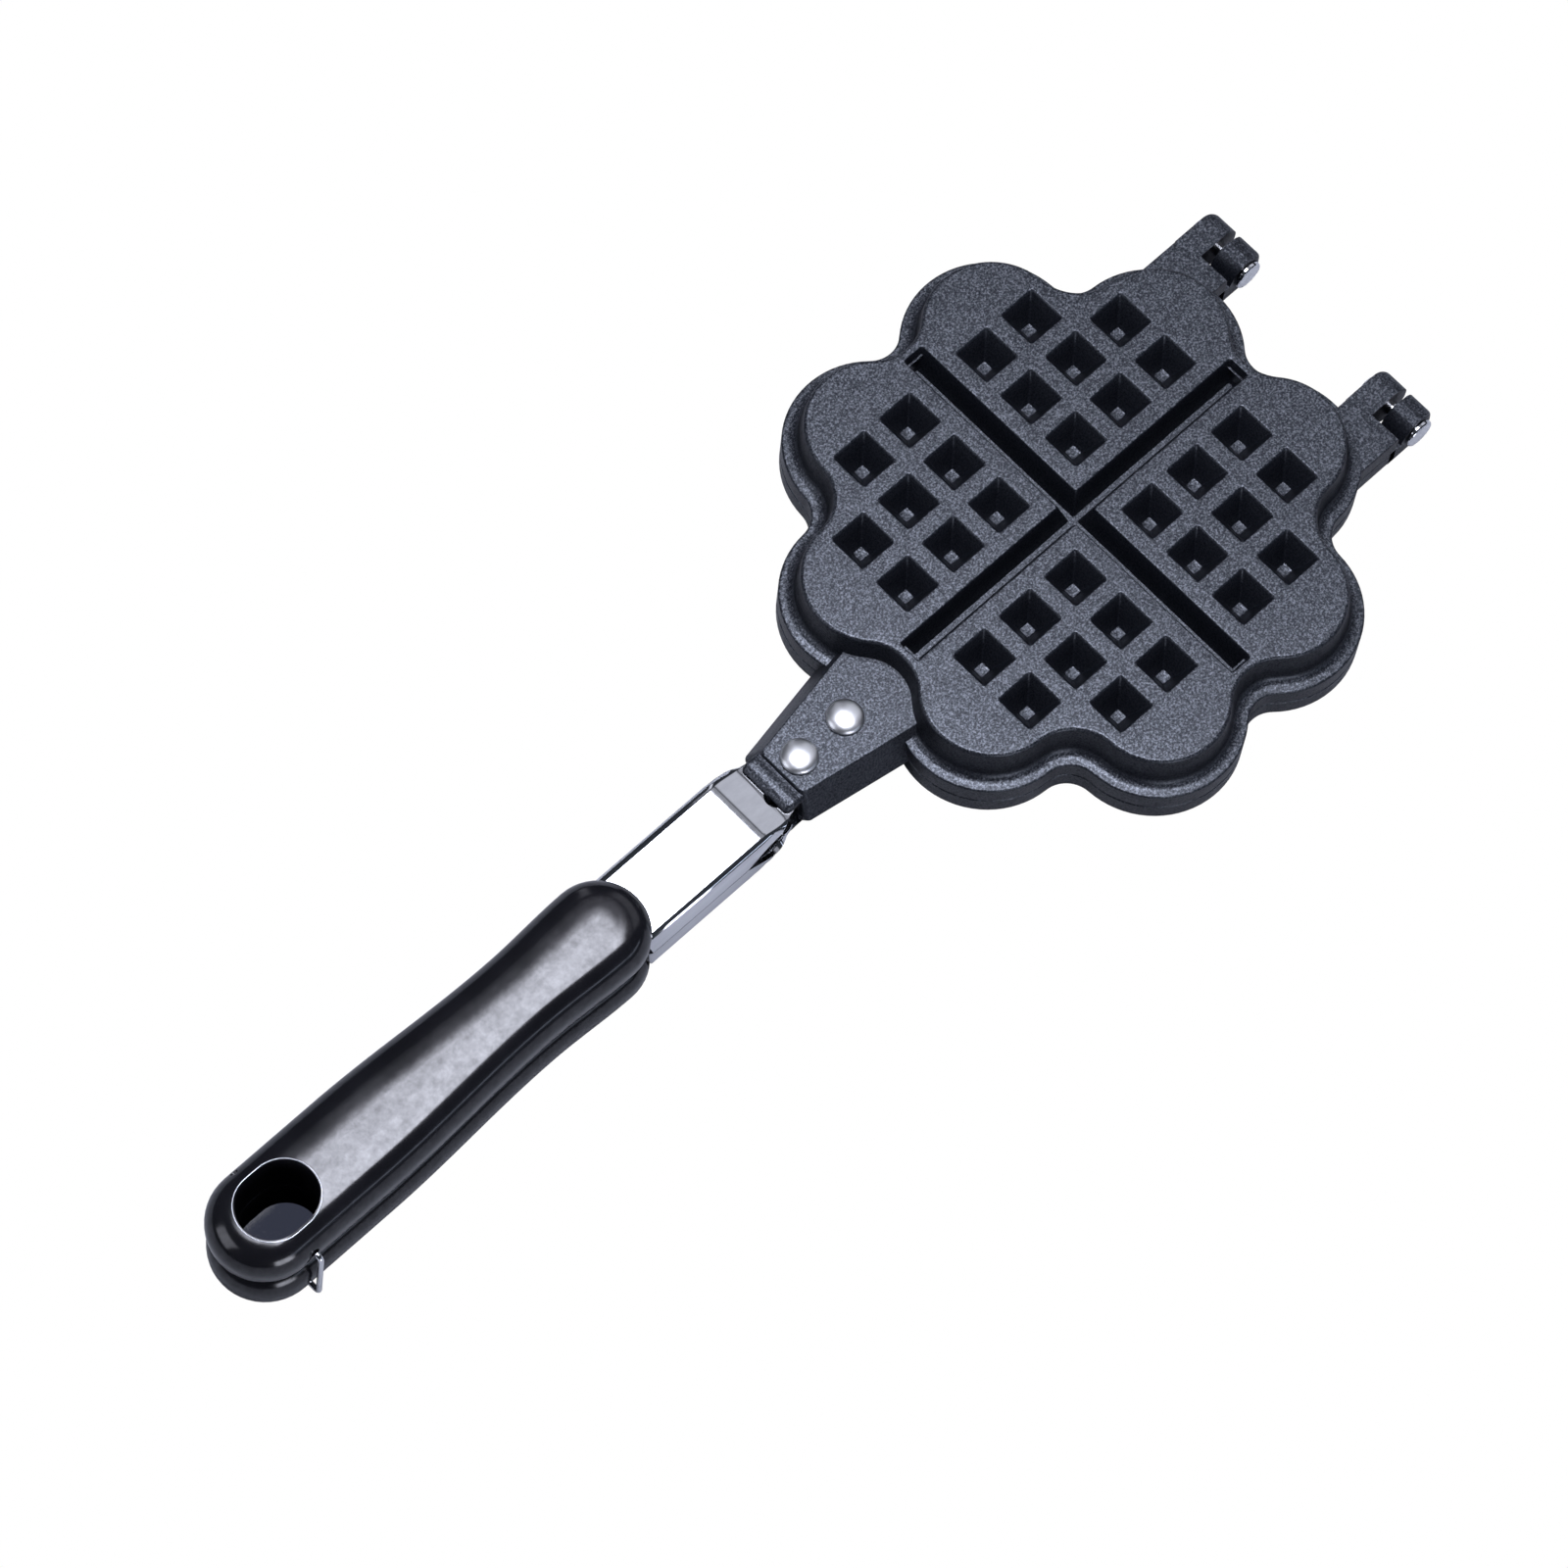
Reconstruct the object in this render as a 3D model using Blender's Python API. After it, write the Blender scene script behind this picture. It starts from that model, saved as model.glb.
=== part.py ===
"""Stovetop waffle iron: two equal flower-shaped castings on a two-arm hinge, each with a steel
tang riveted to its boss and a moulded half grip, and a wire clip near the tail of the grips.

Each half is modelled once, with its origin on the hinge axis, the plate up and the handle along
-X. The upper half stands as modelled. The lower half is the same half turned over about X.
All sizes are in metres. Along the handle, a reach is a distance from the plate's centre.
"""

import math

import bmesh
import bpy
from mathutils import Matrix, Vector

# Fits and overruns
parting_gap = 0.0003
fit_clearance = 0.0003
cut_overrun = 0.001
join_depth = 0.002

# Flower plate, in plan
lobe_count = 8
lobe_centre_radius = 0.0545
lobe_radius = 0.01835
notch_radius = 0.0129
lobe_segments = 10
notch_segments = 6

# Casting, from the parting plane up
plate_height = 0.0164
rim_height = 0.006
rim_reach = 0.005
rim_edge_round = 0.0005
rim_wall = 0.0024
plate_edge_round = 0.0012
plate_draft = 0.0009
plate_foot_round = 0.0018
plate_wall = 0.0024
side_wall = 0.0024

# Wells and the cross groove: the pitch as a share of the plate, the rest as shares of the pitch
pitch_share = 0.26356
well_rows = 3
well_first_share = 0.85
well_opening_share = 0.6875
well_floor_share = 0.1875
groove_opening_share = 0.4
groove_floor_share = 0.1
groove_end_share = 0.144
groove_end_draft_share = 0.1
well_depth_share = 0.5
groove_depth_share = 0.488
peg_wall = 0.0021

# Hinge
arm_centre = 0.0307
arm_width = 0.017
arm_free_length = 0.0048
arm_corner_round = 0.0017
knuckle_radius = 0.0059
knuckle_round_share = 0.94
knuckle_side_gap = 0.002
knuckle_swing_gap = 0.0017
pin_diameter = 0.0044
pin_head_diameter = 0.0084
pin_head_thickness = 0.0012
pin_head_round_shares = ((0.84, 1.0), (1.0, 0.55))
pin_peen_diameter = 0.0064
pin_peen_thickness = 0.001
pin_peen_face_share = 0.62

# Handle boss of the casting
boss_height = 0.009
boss_length = 0.0361
boss_wall = 0.0026
boss_root_setback = 0.004
boss_end_half_width = 0.0079
boss_taper = 0.0053
boss_side_flare = 0.0041
boss_end_flare = 0.0016
boss_corner_steps = 4
boss_edge_round = 0.0005
boss_corner_round = 0.0018
boss_side_wall = 0.0026
lip_length = 0.006
lip_drop = 0.0007
lip_overhang = 0.0005
lip_end_shares = ((1.0, 0.45), (0.93, 0.80), (0.80, 1.0))
lip_root_share = 0.7

# Rivets
rivet_end_margin = 0.0061
rivet_pitch = 0.0157
rivet_head_diameter = 0.0098
rivet_head_height = 0.0023
rivet_head_edge_share = 0.12
rivet_shank_diameter = 0.0048
rivet_tail_diameter = 0.0076
rivet_tail_height = 0.0014
rivet_tail_round_shares = ((0.72, 0.0), (1.0, 0.45))

# Tang
tang_thickness = 0.0012
tang_end_margin = 0.0055
tang_end_space = 0.0064
neck_inset = 0.0007
neck_end_length = 0.0007
tang_flare_length = 0.005
tang_rise_length = 0.01
flange_grow_length = 0.0155
tang_straight = 0.0276
tang_height = 0.0087
tang_bend_radius = 0.0025
tang_shoulder = 0.0037
tang_stub = 0.0003
tongue_end_shares = ((0.55, 1.0), (0.88, 0.84), (1.0, 0.5))
vent_diameter = 0.0062
vent_standoff = 0.0044
vent_offset = 0.0028

# Grip
grip_length = 0.1369
grip_cover = 0.0069
grip_side_wall = 0.0024
grip_waist = 0.001
grip_tail_swell = 0.001
waist_share = 0.24
waist_fade_share = 0.5
grip_top_share = 0.46
grip_under_share = 0.4
grip_mate_gap = 0.0004
mouth_depth = 0.0064
tongue_half_width = 0.006
tongue_length = 0.047
hole_setback = 0.0044
hole_share = 0.657
hole_straight = 0.0038
hole_draft = 0.0011
hole_edge_round = 0.0006
obround_steps = 10

# Grip screw
screw_setback = 0.012
screw_shank_diameter = 0.0034
screw_head_diameter = 0.0068
screw_head_height = 0.002
screw_bite_share = 0.6
screw_head_round_shares = ((0.7, 1.0), (1.0, 0.5))
screw_point_shares = ((1.0, 0.8), (0.4, 1.0))

# Locking clip
wire_diameter = 0.0015
clip_setback = 0.0022
clip_lean = 0.0014
clip_pivot_share = 0.782
clip_tip_share = 0.564
clip_foot_depth = 0.0028
clip_foot_standoff = 0.0022
clip_tip_clearance = 0.0004
clip_bend_radius = 0.0016
clip_bend_share = 0.9
dimple_diameter = 0.0026
dimple_depth = 0.0007

# Fineness of turned and bent work
turn_segments = 16
small_segments = 12
wire_resolution = 2

# Derived: the flower, whose notch circles touch the lobes on both sides of them
lobe_pitch_angle = 2 * math.pi / lobe_count
half_gap = parting_gap / 2
lobe_axis_x = lobe_centre_radius * math.cos(lobe_pitch_angle / 2)
lobe_axis_y = lobe_centre_radius * math.sin(lobe_pitch_angle / 2)
notch_centre = lobe_axis_x + math.sqrt((lobe_radius + notch_radius) ** 2 - lobe_axis_y ** 2)
notch_edge = notch_centre - notch_radius

# Derived: wells and grooves
well_pitch = notch_edge * pitch_share
well_first = well_pitch * well_first_share
well_opening = well_pitch * well_opening_share
well_floor = well_pitch * well_floor_share
well_depth = plate_height * well_depth_share
groove_opening = well_pitch * groove_opening_share
groove_floor = well_pitch * groove_floor_share
groove_depth = plate_height * groove_depth_share
groove_end_margin = well_pitch * groove_end_share
groove_end_draft = well_pitch * groove_end_draft_share

# Derived: reaches along the handle
hinge_reach = lobe_axis_x + lobe_radius + rim_reach + arm_free_length + knuckle_swing_gap + knuckle_radius
boss_root_reach = notch_edge + rim_reach + boss_root_setback
boss_reach = notch_edge + rim_reach + boss_length
rivet_reaches = (boss_reach - rivet_end_margin - rivet_pitch, boss_reach - rivet_end_margin)
tang_start_reach = rivet_reaches[0] - tang_end_margin
neck_end_reach = boss_reach + neck_end_length
tang_flare_reach = neck_end_reach + tang_flare_length
tang_rise_reach = tang_flare_reach + tang_rise_length
flange_full_reach = tang_flare_reach + flange_grow_length
vent_reach = boss_reach + vent_standoff
grip_start_reach = flange_full_reach + tang_straight
tail_reach = grip_start_reach + grip_length

# Derived: widths and heights of boss, tang and grip
boss_root_half_width = boss_end_half_width + boss_taper
lip_half_width = boss_end_half_width + lip_overhang
neck_half_width = boss_end_half_width - neck_inset
tang_half_width = neck_half_width + tang_shoulder
grip_front_half_width = tang_half_width + grip_side_wall
grip_waist_half_width = grip_front_half_width - grip_waist
grip_tail_half_width = grip_front_half_width + grip_tail_swell
grip_height = tang_height + grip_cover
grip_top_round = grip_height * grip_top_share
grip_under_round = grip_height * grip_under_share
hole_reach = tail_reach - grip_tail_half_width - hole_setback
hole_radius = grip_tail_half_width * hole_share
screw_bite = grip_cover * screw_bite_share
clip_reach = tail_reach - grip_tail_half_width - clip_setback
clip_pivot_height = grip_height * clip_pivot_share
clip_tip_height = grip_height * clip_tip_share

# Derived: places in the world
tip_reach = hinge_reach + knuckle_radius
origin_shift = (tail_reach - tip_reach) / 2
hinge_x = origin_shift + hinge_reach
parting_z = plate_height


def material(name, colour, roughness, metallic):
    made = bpy.data.materials.new(name)
    made.use_nodes = True
    shader = made.node_tree.nodes["Principled BSDF"]
    shader.inputs["Base Color"].default_value = (*colour, 1.0)
    shader.inputs["Roughness"].default_value = roughness
    shader.inputs["Metallic"].default_value = metallic
    made.diffuse_color = (*colour, 1.0)
    return made


def mesh_of(build, name, sharp_angle=math.radians(32)):
    """Turn a finished bmesh into a mesh, smooth but for its sharp edges."""
    bmesh.ops.recalc_face_normals(build, faces=build.faces)
    mesh = bpy.data.meshes.new(name)
    build.to_mesh(mesh)
    build.free()
    mesh.shade_smooth()
    mesh.set_sharp_from_angle(angle=sharp_angle)
    return mesh


def place(name, mesh, finish, parent=None, location=(0, 0, 0), rotation=(0, 0, 0)):
    made = bpy.data.objects.new(name, mesh)
    bpy.context.scene.collection.objects.link(made)
    if not mesh.materials:
        mesh.materials.append(finish)
    made.parent = parent
    made.location = location
    made.rotation_euler = rotation
    return made


def empty(name, location, rotation=(0, 0, 0)):
    made = bpy.data.objects.new(name, None)
    bpy.context.scene.collection.objects.link(made)
    made.location = location
    made.rotation_euler = rotation
    return made


def loft(rings, build=None):
    """Skin a row of equal rings of points and close both ends."""
    build = build or bmesh.new()
    rows = [[build.verts.new(point) for point in ring] for ring in rings]
    for lower, upper in zip(rows, rows[1:]):
        for i in range(len(lower)):
            j = (i + 1) % len(lower)
            build.faces.new((lower[i], lower[j], upper[j], upper[i]))
    build.faces.new(rows[0][::-1])
    build.faces.new(rows[-1])
    return build


def combine(mesh, tool_build, operation, name):
    """Join a closed shape to a mesh, or cut it out, and give the resulting mesh."""
    body = bpy.data.objects.new(name + "_body", mesh)
    tool = bpy.data.objects.new(name + "_tool", mesh_of(tool_build, name + "_tool"))
    tool.hide_render = True
    tool.display_type = "WIRE"
    for made in (body, tool):
        bpy.context.scene.collection.objects.link(made)
    step = body.modifiers.new(operation.lower(), "BOOLEAN")
    step.operation = operation
    step.solver = "EXACT"
    step.use_self = True
    step.object = tool
    view = bpy.context.evaluated_depsgraph_get()
    result = bpy.data.meshes.new_from_object(body.evaluated_get(view))
    for made in (body, tool):
        spent = made.data
        bpy.data.objects.remove(made, do_unlink=True)
        bpy.data.meshes.remove(spent)
    result.name = name
    return result


def tidy(mesh, sharp_angle=math.radians(32)):
    """Merge what a cut left doubled, and set the smooth shading again."""
    build = bmesh.new()
    build.from_mesh(mesh)
    bmesh.ops.remove_doubles(build, verts=build.verts, dist=cut_overrun / 100)
    bmesh.ops.dissolve_degenerate(build, edges=build.edges, dist=cut_overrun / 100)
    flat = math.radians(0.2)
    bmesh.ops.dissolve_limit(build, angle_limit=flat, verts=build.verts, edges=build.edges)
    bmesh.ops.triangulate(build, faces=build.faces)
    build.to_mesh(mesh)
    build.free()
    mesh.materials.clear()
    mesh.shade_smooth()
    mesh.set_sharp_from_angle(angle=sharp_angle)
    return mesh


def arc(start, end, count):
    return [start + (end - start) * i / count for i in range(count + 1)]


def polar(radius, angle):
    return Vector((radius * math.cos(angle), radius * math.sin(angle), 0))


def quarter_round(count):
    """Shares of a rounded edge: how far in, and how far below the top, at each step."""
    return [(1 - math.sin(a), 1 - math.cos(a)) for a in arc(0, math.pi / 2, count)]


def from_plate(x, y, z):
    """A point given from the plate's centre, in the half's own frame on the hinge axis."""
    return Vector((x - hinge_reach, y, z))


def box(x_range, y_range, z_range, build=None):
    rings = []
    for z in z_range:
        ring = [(x_range[0], y_range[0]), (x_range[1], y_range[0])]
        ring += [(x_range[1], y_range[1]), (x_range[0], y_range[1])]
        rings.append([from_plate(x, y, z) for x, y in ring])
    return loft(rings, build)


def cylinder(radius, low, high, centre=(0, 0, 0), axis="Z", build=None, segments=turn_segments):
    rings = []
    for along in (low, high):
        ring = []
        for i in range(segments):
            point = polar(radius, 2 * math.pi * i / segments)
            if axis == "Y":
                ring.append(Vector((point.x, along, point.y)) + Vector(centre))
            else:
                ring.append(Vector((point.x, point.y, along)) + Vector(centre))
        rings.append(ring)
    return loft(rings, build)


def turned(profile, segments=turn_segments):
    """A solid of revolution about Z from (radius, height) points, bottom to top."""
    rings = []
    for radius, height in profile:
        ring = [polar(radius, 2 * math.pi * i / segments) for i in range(segments)]
        rings.append([point + Vector((0, 0, height)) for point in ring])
    return loft(rings)


# Flower outline

def flower(offset, z, coarse=1):
    """The plate's outline of lobes and notches, grown outward by an offset, at a height."""
    half = lobe_pitch_angle / 2
    along = notch_centre * math.cos(half) - lobe_centre_radius
    lobe_turn = math.atan2(notch_centre * math.sin(half), along)
    notch_turn = lobe_turn - half
    points = []
    for k in range(lobe_count):
        axis = (k + 0.5) * lobe_pitch_angle
        centre = polar(lobe_centre_radius, axis)
        for angle in arc(axis - lobe_turn, axis + lobe_turn, lobe_segments // coarse):
            points.append(centre + polar(lobe_radius + offset, angle))
        inward = axis + half + math.pi
        centre = polar(notch_centre, axis + half)
        for angle in arc(inward + notch_turn, inward - notch_turn, notch_segments // coarse)[1:-1]:
            points.append(centre + polar(notch_radius - offset, angle))
    return [from_plate(point.x, point.y, z) for point in points]


# Casting: plate and rim

def casting_shell():
    rings = []
    for inward, down in quarter_round(2):
        rings.append(flower(-plate_edge_round * inward, plate_height - plate_edge_round * down))
    for inward, down in quarter_round(2)[::-1]:
        outward = plate_draft + plate_foot_round * inward
        rings.append(flower(outward, rim_height + plate_foot_round * down))
    for inward, down in quarter_round(1):
        rings.append(flower(rim_reach - rim_edge_round * inward, rim_height - rim_edge_round * down))
    rings.append(flower(rim_reach, half_gap))
    return loft(rings[::-1])


def casting_hollow():
    """The space under the plate, with a peg left round each well and a ridge under each groove."""
    ledge = rim_height - rim_wall
    ceiling = plate_height - plate_wall
    rings = [flower(rim_reach - rim_wall, half_gap - cut_overrun, 2)]
    rings.append(flower(rim_reach - rim_wall, ledge - plate_draft, 2))
    rings.append(flower(plate_draft - side_wall, ledge, 2))
    rings.append(flower(-side_wall, ceiling, 2))
    return mesh_of(loft(rings), "hollow")


def well_places():
    rows = range(well_rows)
    cells = [(i, j) for i in rows for j in rows if not i == j == well_rows - 1]
    for side_x in (-1, 1):
        for side_y in (-1, 1):
            for i, j in cells:
                yield side_x * (well_first + well_pitch * i), side_y * (well_first + well_pitch * j)


def square(x, y, z, half_x, half_y):
    shares = ((-1, -1), (1, -1), (1, 1), (-1, 1))
    return [from_plate(x + half_x * u, y + half_y * v, z) for u, v in shares]


def sinks():
    """All wells and the two crossing grooves, as cutters that break the plate's face."""
    floor_z = plate_height - well_depth
    taper = (well_opening - well_floor) / 2 / well_depth
    over = well_opening / 2 + taper * cut_overrun
    wells = bmesh.new()
    for x, y in well_places():
        low = square(x, y, floor_z, well_floor / 2, well_floor / 2)
        loft([low, square(x, y, plate_height + cut_overrun, over, over)], wells)
    return wells, groove_cutter(0), groove_cutter(1)


def groove_cutter(turn):
    floor_z = plate_height - groove_depth
    taper = (groove_opening - groove_floor) / 2 / groove_depth
    over = groove_opening / 2 + taper * cut_overrun
    long = notch_edge - groove_end_margin
    low = (long - groove_end_draft, groove_floor / 2)
    high = (long, over)
    if turn:
        low = low[::-1]
        high = high[::-1]
    return loft([square(0, 0, floor_z, *low), square(0, 0, plate_height + cut_overrun, *high)])


def pegs():
    """The casting's wall round each well, as seen from inside."""
    low_z = plate_height - well_depth - peg_wall
    ceiling = plate_height - plate_wall
    taper = (well_opening - well_floor) / 2 / well_depth
    thick = peg_wall * math.sqrt(1 + taper ** 2)
    low = well_floor / 2 - taper * peg_wall + thick
    high = low + taper * (ceiling - low_z)
    build = bmesh.new()
    for x, y in well_places():
        rings = [square(x, y, low_z, low, low), square(x, y, ceiling, high, high)]
        rings.append(square(x, y, ceiling + cut_overrun, high, high))
        loft(rings, build)
    return build


def ridge(turn):
    low_z = plate_height - groove_depth - peg_wall
    ceiling = plate_height - plate_wall
    taper = (groove_opening - groove_floor) / 2 / groove_depth
    low = groove_floor / 2 + peg_wall
    high = low + taper * (ceiling - low_z)
    long = notch_edge
    rings = []
    for z, wide in ((low_z, low), (ceiling, high), (ceiling + cut_overrun, high)):
        halves = (wide, long) if turn else (long, wide)
        rings.append(square(0, 0, z, *halves))
    return loft(rings)


# Casting: hinge arms

def knuckle_profile():
    """Side outline of a knuckle about the pin, with the arm's last stretch on its plate side."""
    r = knuckle_radius
    back = r + knuckle_swing_gap + join_depth
    bend = r * knuckle_round_share
    points = [(-back, half_gap), (-back, rim_height)]
    for angle in arc(math.pi / 2, 0, 6):
        points.append((r - bend + bend * math.cos(angle), rim_height - bend + bend * math.sin(angle)))
    under_shares = ((0.97, -0.30), (0.80, -0.60), (0.54, -0.81), (0.28, -0.83), (0.14, -0.94),
                    (-0.36, -0.94), (-0.80, -0.56))
    points += [(r * u, r * v) for u, v in under_shares]
    points.append((-r, half_gap))
    return points


def extrude_y(profile, y_low, y_high, end_round):
    """Carry an outline along Y, with its outer corner turned in plan at the +Y end."""
    rings = [[Vector((x, y_low, z)) for x, z in profile]]
    for inward, down in quarter_round(3)[::-1]:
        hold = 1 - end_round * inward / knuckle_radius
        y = y_high - end_round * down
        rings.append([Vector((x * hold if x > 0 else x, y, z)) for x, z in profile])
    return loft(rings)


def knuckle_range(centre):
    """A casting's knuckle fills the +Y half of each arm, less its half of the side gap."""
    return centre + knuckle_side_gap / 2, centre + arm_width / 2


def hinge_arms():
    notch_x = hinge_reach - knuckle_radius - knuckle_swing_gap
    root_x = lobe_centre_radius
    for side in (-1, 1):
        centre = side * arm_centre
        y_range = (centre - arm_width / 2, centre + arm_width / 2)
        yield box((root_x, notch_x), y_range, (half_gap, rim_height))
        yield extrude_y(knuckle_profile(), *knuckle_range(centre), arm_corner_round)


def pin_bores():
    build = bmesh.new()
    reach = arm_width / 2 + cut_overrun
    for side in (-1, 1):
        radius = pin_diameter / 2 + fit_clearance
        centre = (0, side * arm_centre, 0)
        cylinder(radius, -reach, reach, centre, "Y", build, small_segments)
    return build


# Casting: handle boss

def boss_half_width(reach):
    """Half width of the boss's top at a reach, on the straight line of its sides."""
    slope = (boss_root_half_width - boss_end_half_width) / (boss_reach - boss_root_reach)
    return boss_end_half_width + slope * (boss_reach - reach)


def boss_ring(z, root, end, grow, corner):
    """A trapezoid seen from above, open to the plate, with its two far corners rounded."""
    wide_root = boss_half_width(root) + grow
    wide_end = boss_half_width(end) + grow
    points = [(-root, wide_root)]
    for side in (1, -1):
        centre = (-(end - corner), side * (wide_end - corner))
        turn = arc(math.pi / 2, math.pi, boss_corner_steps)
        angles = turn if side > 0 else [-a for a in turn[::-1]]
        points += [(centre[0] + corner * math.cos(a), centre[1] + corner * math.sin(a)) for a in angles]
    points.append((-root, -wide_root))
    return [from_plate(x, y, z) for x, y in points]


def handle_boss():
    root = lobe_centre_radius
    rings = [boss_ring(half_gap, root, boss_reach + boss_end_flare, boss_side_flare, boss_corner_round)]
    for inward, down in quarter_round(2)[::-1]:
        inset = boss_edge_round * inward
        z = boss_height - boss_edge_round * down
        rings.append(boss_ring(z, root, boss_reach - inset, -inset, boss_corner_round))
    return loft(rings)


def boss_lip():
    """The smooth rounded bar that ends the boss over the tang."""
    low = boss_height - boss_wall
    high = boss_height - lip_drop
    half_length = lip_length / 2
    middle = boss_reach + half_length
    stations = [(-wide, size) for wide, size in lip_end_shares]
    stations += [(wide, size) for wide, size in lip_end_shares[::-1]]
    rings = []
    for wide, size in stations:
        ring = [(middle - half_length - join_depth, low)]
        ring.append((middle - half_length - join_depth, low + (high - low) * size * lip_root_share))
        for angle in arc(math.pi * 3 / 4, 0, 6):
            x = middle - half_length * math.cos(math.pi - angle) * size
            ring.append((x, low + (high - low) * size * math.sin(angle)))
        y = lip_half_width * wide
        rings.append([from_plate(-x, y, z) for x, z in ring])
    return loft(rings)


def boss_hollow():
    """The pocket under the boss that takes the neck of the tang, open at the lip."""
    root = tang_start_reach - tang_end_space
    end = boss_reach + lip_length + cut_overrun
    root_wide = boss_half_width(root) - boss_side_wall + boss_side_flare / 2
    end_wide = neck_half_width + tang_stub + fit_clearance
    open_reach = tang_start_reach
    rings = []
    for z in (half_gap - cut_overrun, boss_height - boss_wall):
        outline = [(-root, root_wide), (-open_reach, root_wide), (-boss_reach, end_wide), (-end, end_wide)]
        outline += [(x, -y) for x, y in outline[::-1]]
        rings.append([from_plate(x, y, z) for x, y in outline])
    return loft(rings)


def rivet_holes():
    build = bmesh.new()
    radius = rivet_shank_diameter / 2 + fit_clearance
    for reach in rivet_reaches:
        cylinder(radius, 0, boss_height + cut_overrun, from_plate(-reach, 0, 0), "Z", build,
                 small_segments)
    return build


def casting():
    mesh = mesh_of(casting_shell(), "casting")
    for piece in [*hinge_arms(), handle_boss(), boss_lip()]:
        mesh = combine(mesh, piece, "UNION", "casting")
    hollow = combine(casting_hollow(), pegs(), "DIFFERENCE", "hollow")
    for turn in (0, 1):
        hollow = combine(hollow, ridge(turn), "DIFFERENCE", "hollow")
    inside = bmesh.new()
    inside.from_mesh(hollow)
    bpy.data.meshes.remove(hollow)
    mesh = combine(mesh, inside, "DIFFERENCE", "casting")
    for cutter in [*sinks(), boss_hollow(), rivet_holes(), pin_bores()]:
        mesh = combine(mesh, cutter, "DIFFERENCE", "casting")
    return tidy(mesh)


# Hinge pin and rivets

def hinge_pin():
    """A shouldered pin along Y: its head on the -Y side, its peened end on the +Y side."""
    face = arm_width / 2 + fit_clearance
    profile = []
    for wide, deep in pin_head_round_shares:
        profile.append((pin_head_diameter / 2 * wide, -face - pin_head_thickness * deep))
    profile.append((pin_head_diameter / 2, -face))
    profile.append((pin_diameter / 2, -face))
    profile.append((pin_diameter / 2, face))
    profile.append((pin_peen_diameter / 2, face))
    profile.append((pin_peen_diameter / 2 * pin_peen_face_share, face + pin_peen_thickness))
    build = turned(profile)
    bmesh.ops.rotate(build, verts=build.verts, matrix=Matrix.Rotation(-math.pi / 2, 3, "X"))
    return mesh_of(build, "hinge_pin")


def rivet():
    """A domed rivet with its origin on the boss's top face and its tail under the tang."""
    seat = fit_clearance
    neck_low = -boss_wall - fit_clearance - tang_thickness
    tail_top = neck_low - fit_clearance
    tail_low = tail_top - rivet_tail_height
    profile = []
    for wide, up in rivet_tail_round_shares:
        profile.append((rivet_tail_diameter / 2 * wide, tail_low + rivet_tail_height * up))
    profile.append((rivet_tail_diameter / 2, tail_top))
    profile.append((rivet_shank_diameter / 2, tail_top))
    profile.append((rivet_shank_diameter / 2, seat))
    dome_base = rivet_head_height * rivet_head_edge_share
    profile.append((rivet_head_diameter / 2, seat))
    for angle in arc(0, math.radians(76), 4):
        radius = rivet_head_diameter / 2 * math.cos(angle)
        rise = (rivet_head_height - dome_base) * math.sin(angle)
        profile.append((radius, seat + dome_base + rise))
    return mesh_of(turned(profile), "rivet")


# Tang

def side_path(flat, top, bend, run, thickness_in):
    """Points down one side of the tang's section, from the flat over the bend to the flange.

    run is how far the steel goes on past the flat; thickness_in is 0 on the outer skin.
    """
    shares = (0.0, 0.1, 0.2, 0.3, 0.4, 1.0)
    quarter = bend * math.pi / 2
    points = []
    for share in shares:
        along = run * share
        angle = min(along / bend, math.pi / 2)
        straight = max(0.0, along - quarter)
        radius = bend - thickness_in
        y = flat + radius * math.sin(angle)
        z = top - bend + radius * math.cos(angle) - straight
        points.append((y, z))
    return points


def tang_section(x, flat, top, run):
    outer = side_path(flat, top, tang_bend_radius, run, 0)
    inner = side_path(flat, top, tang_bend_radius, run, tang_thickness)
    left = [(-y, z) for y, z in inner]
    right = [(y, z) for y, z in inner[::-1]]
    section = [(-y, z) for y, z in outer[::-1]] + outer + right + left
    return [from_plate(-x, y, z) for y, z in section]


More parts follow.
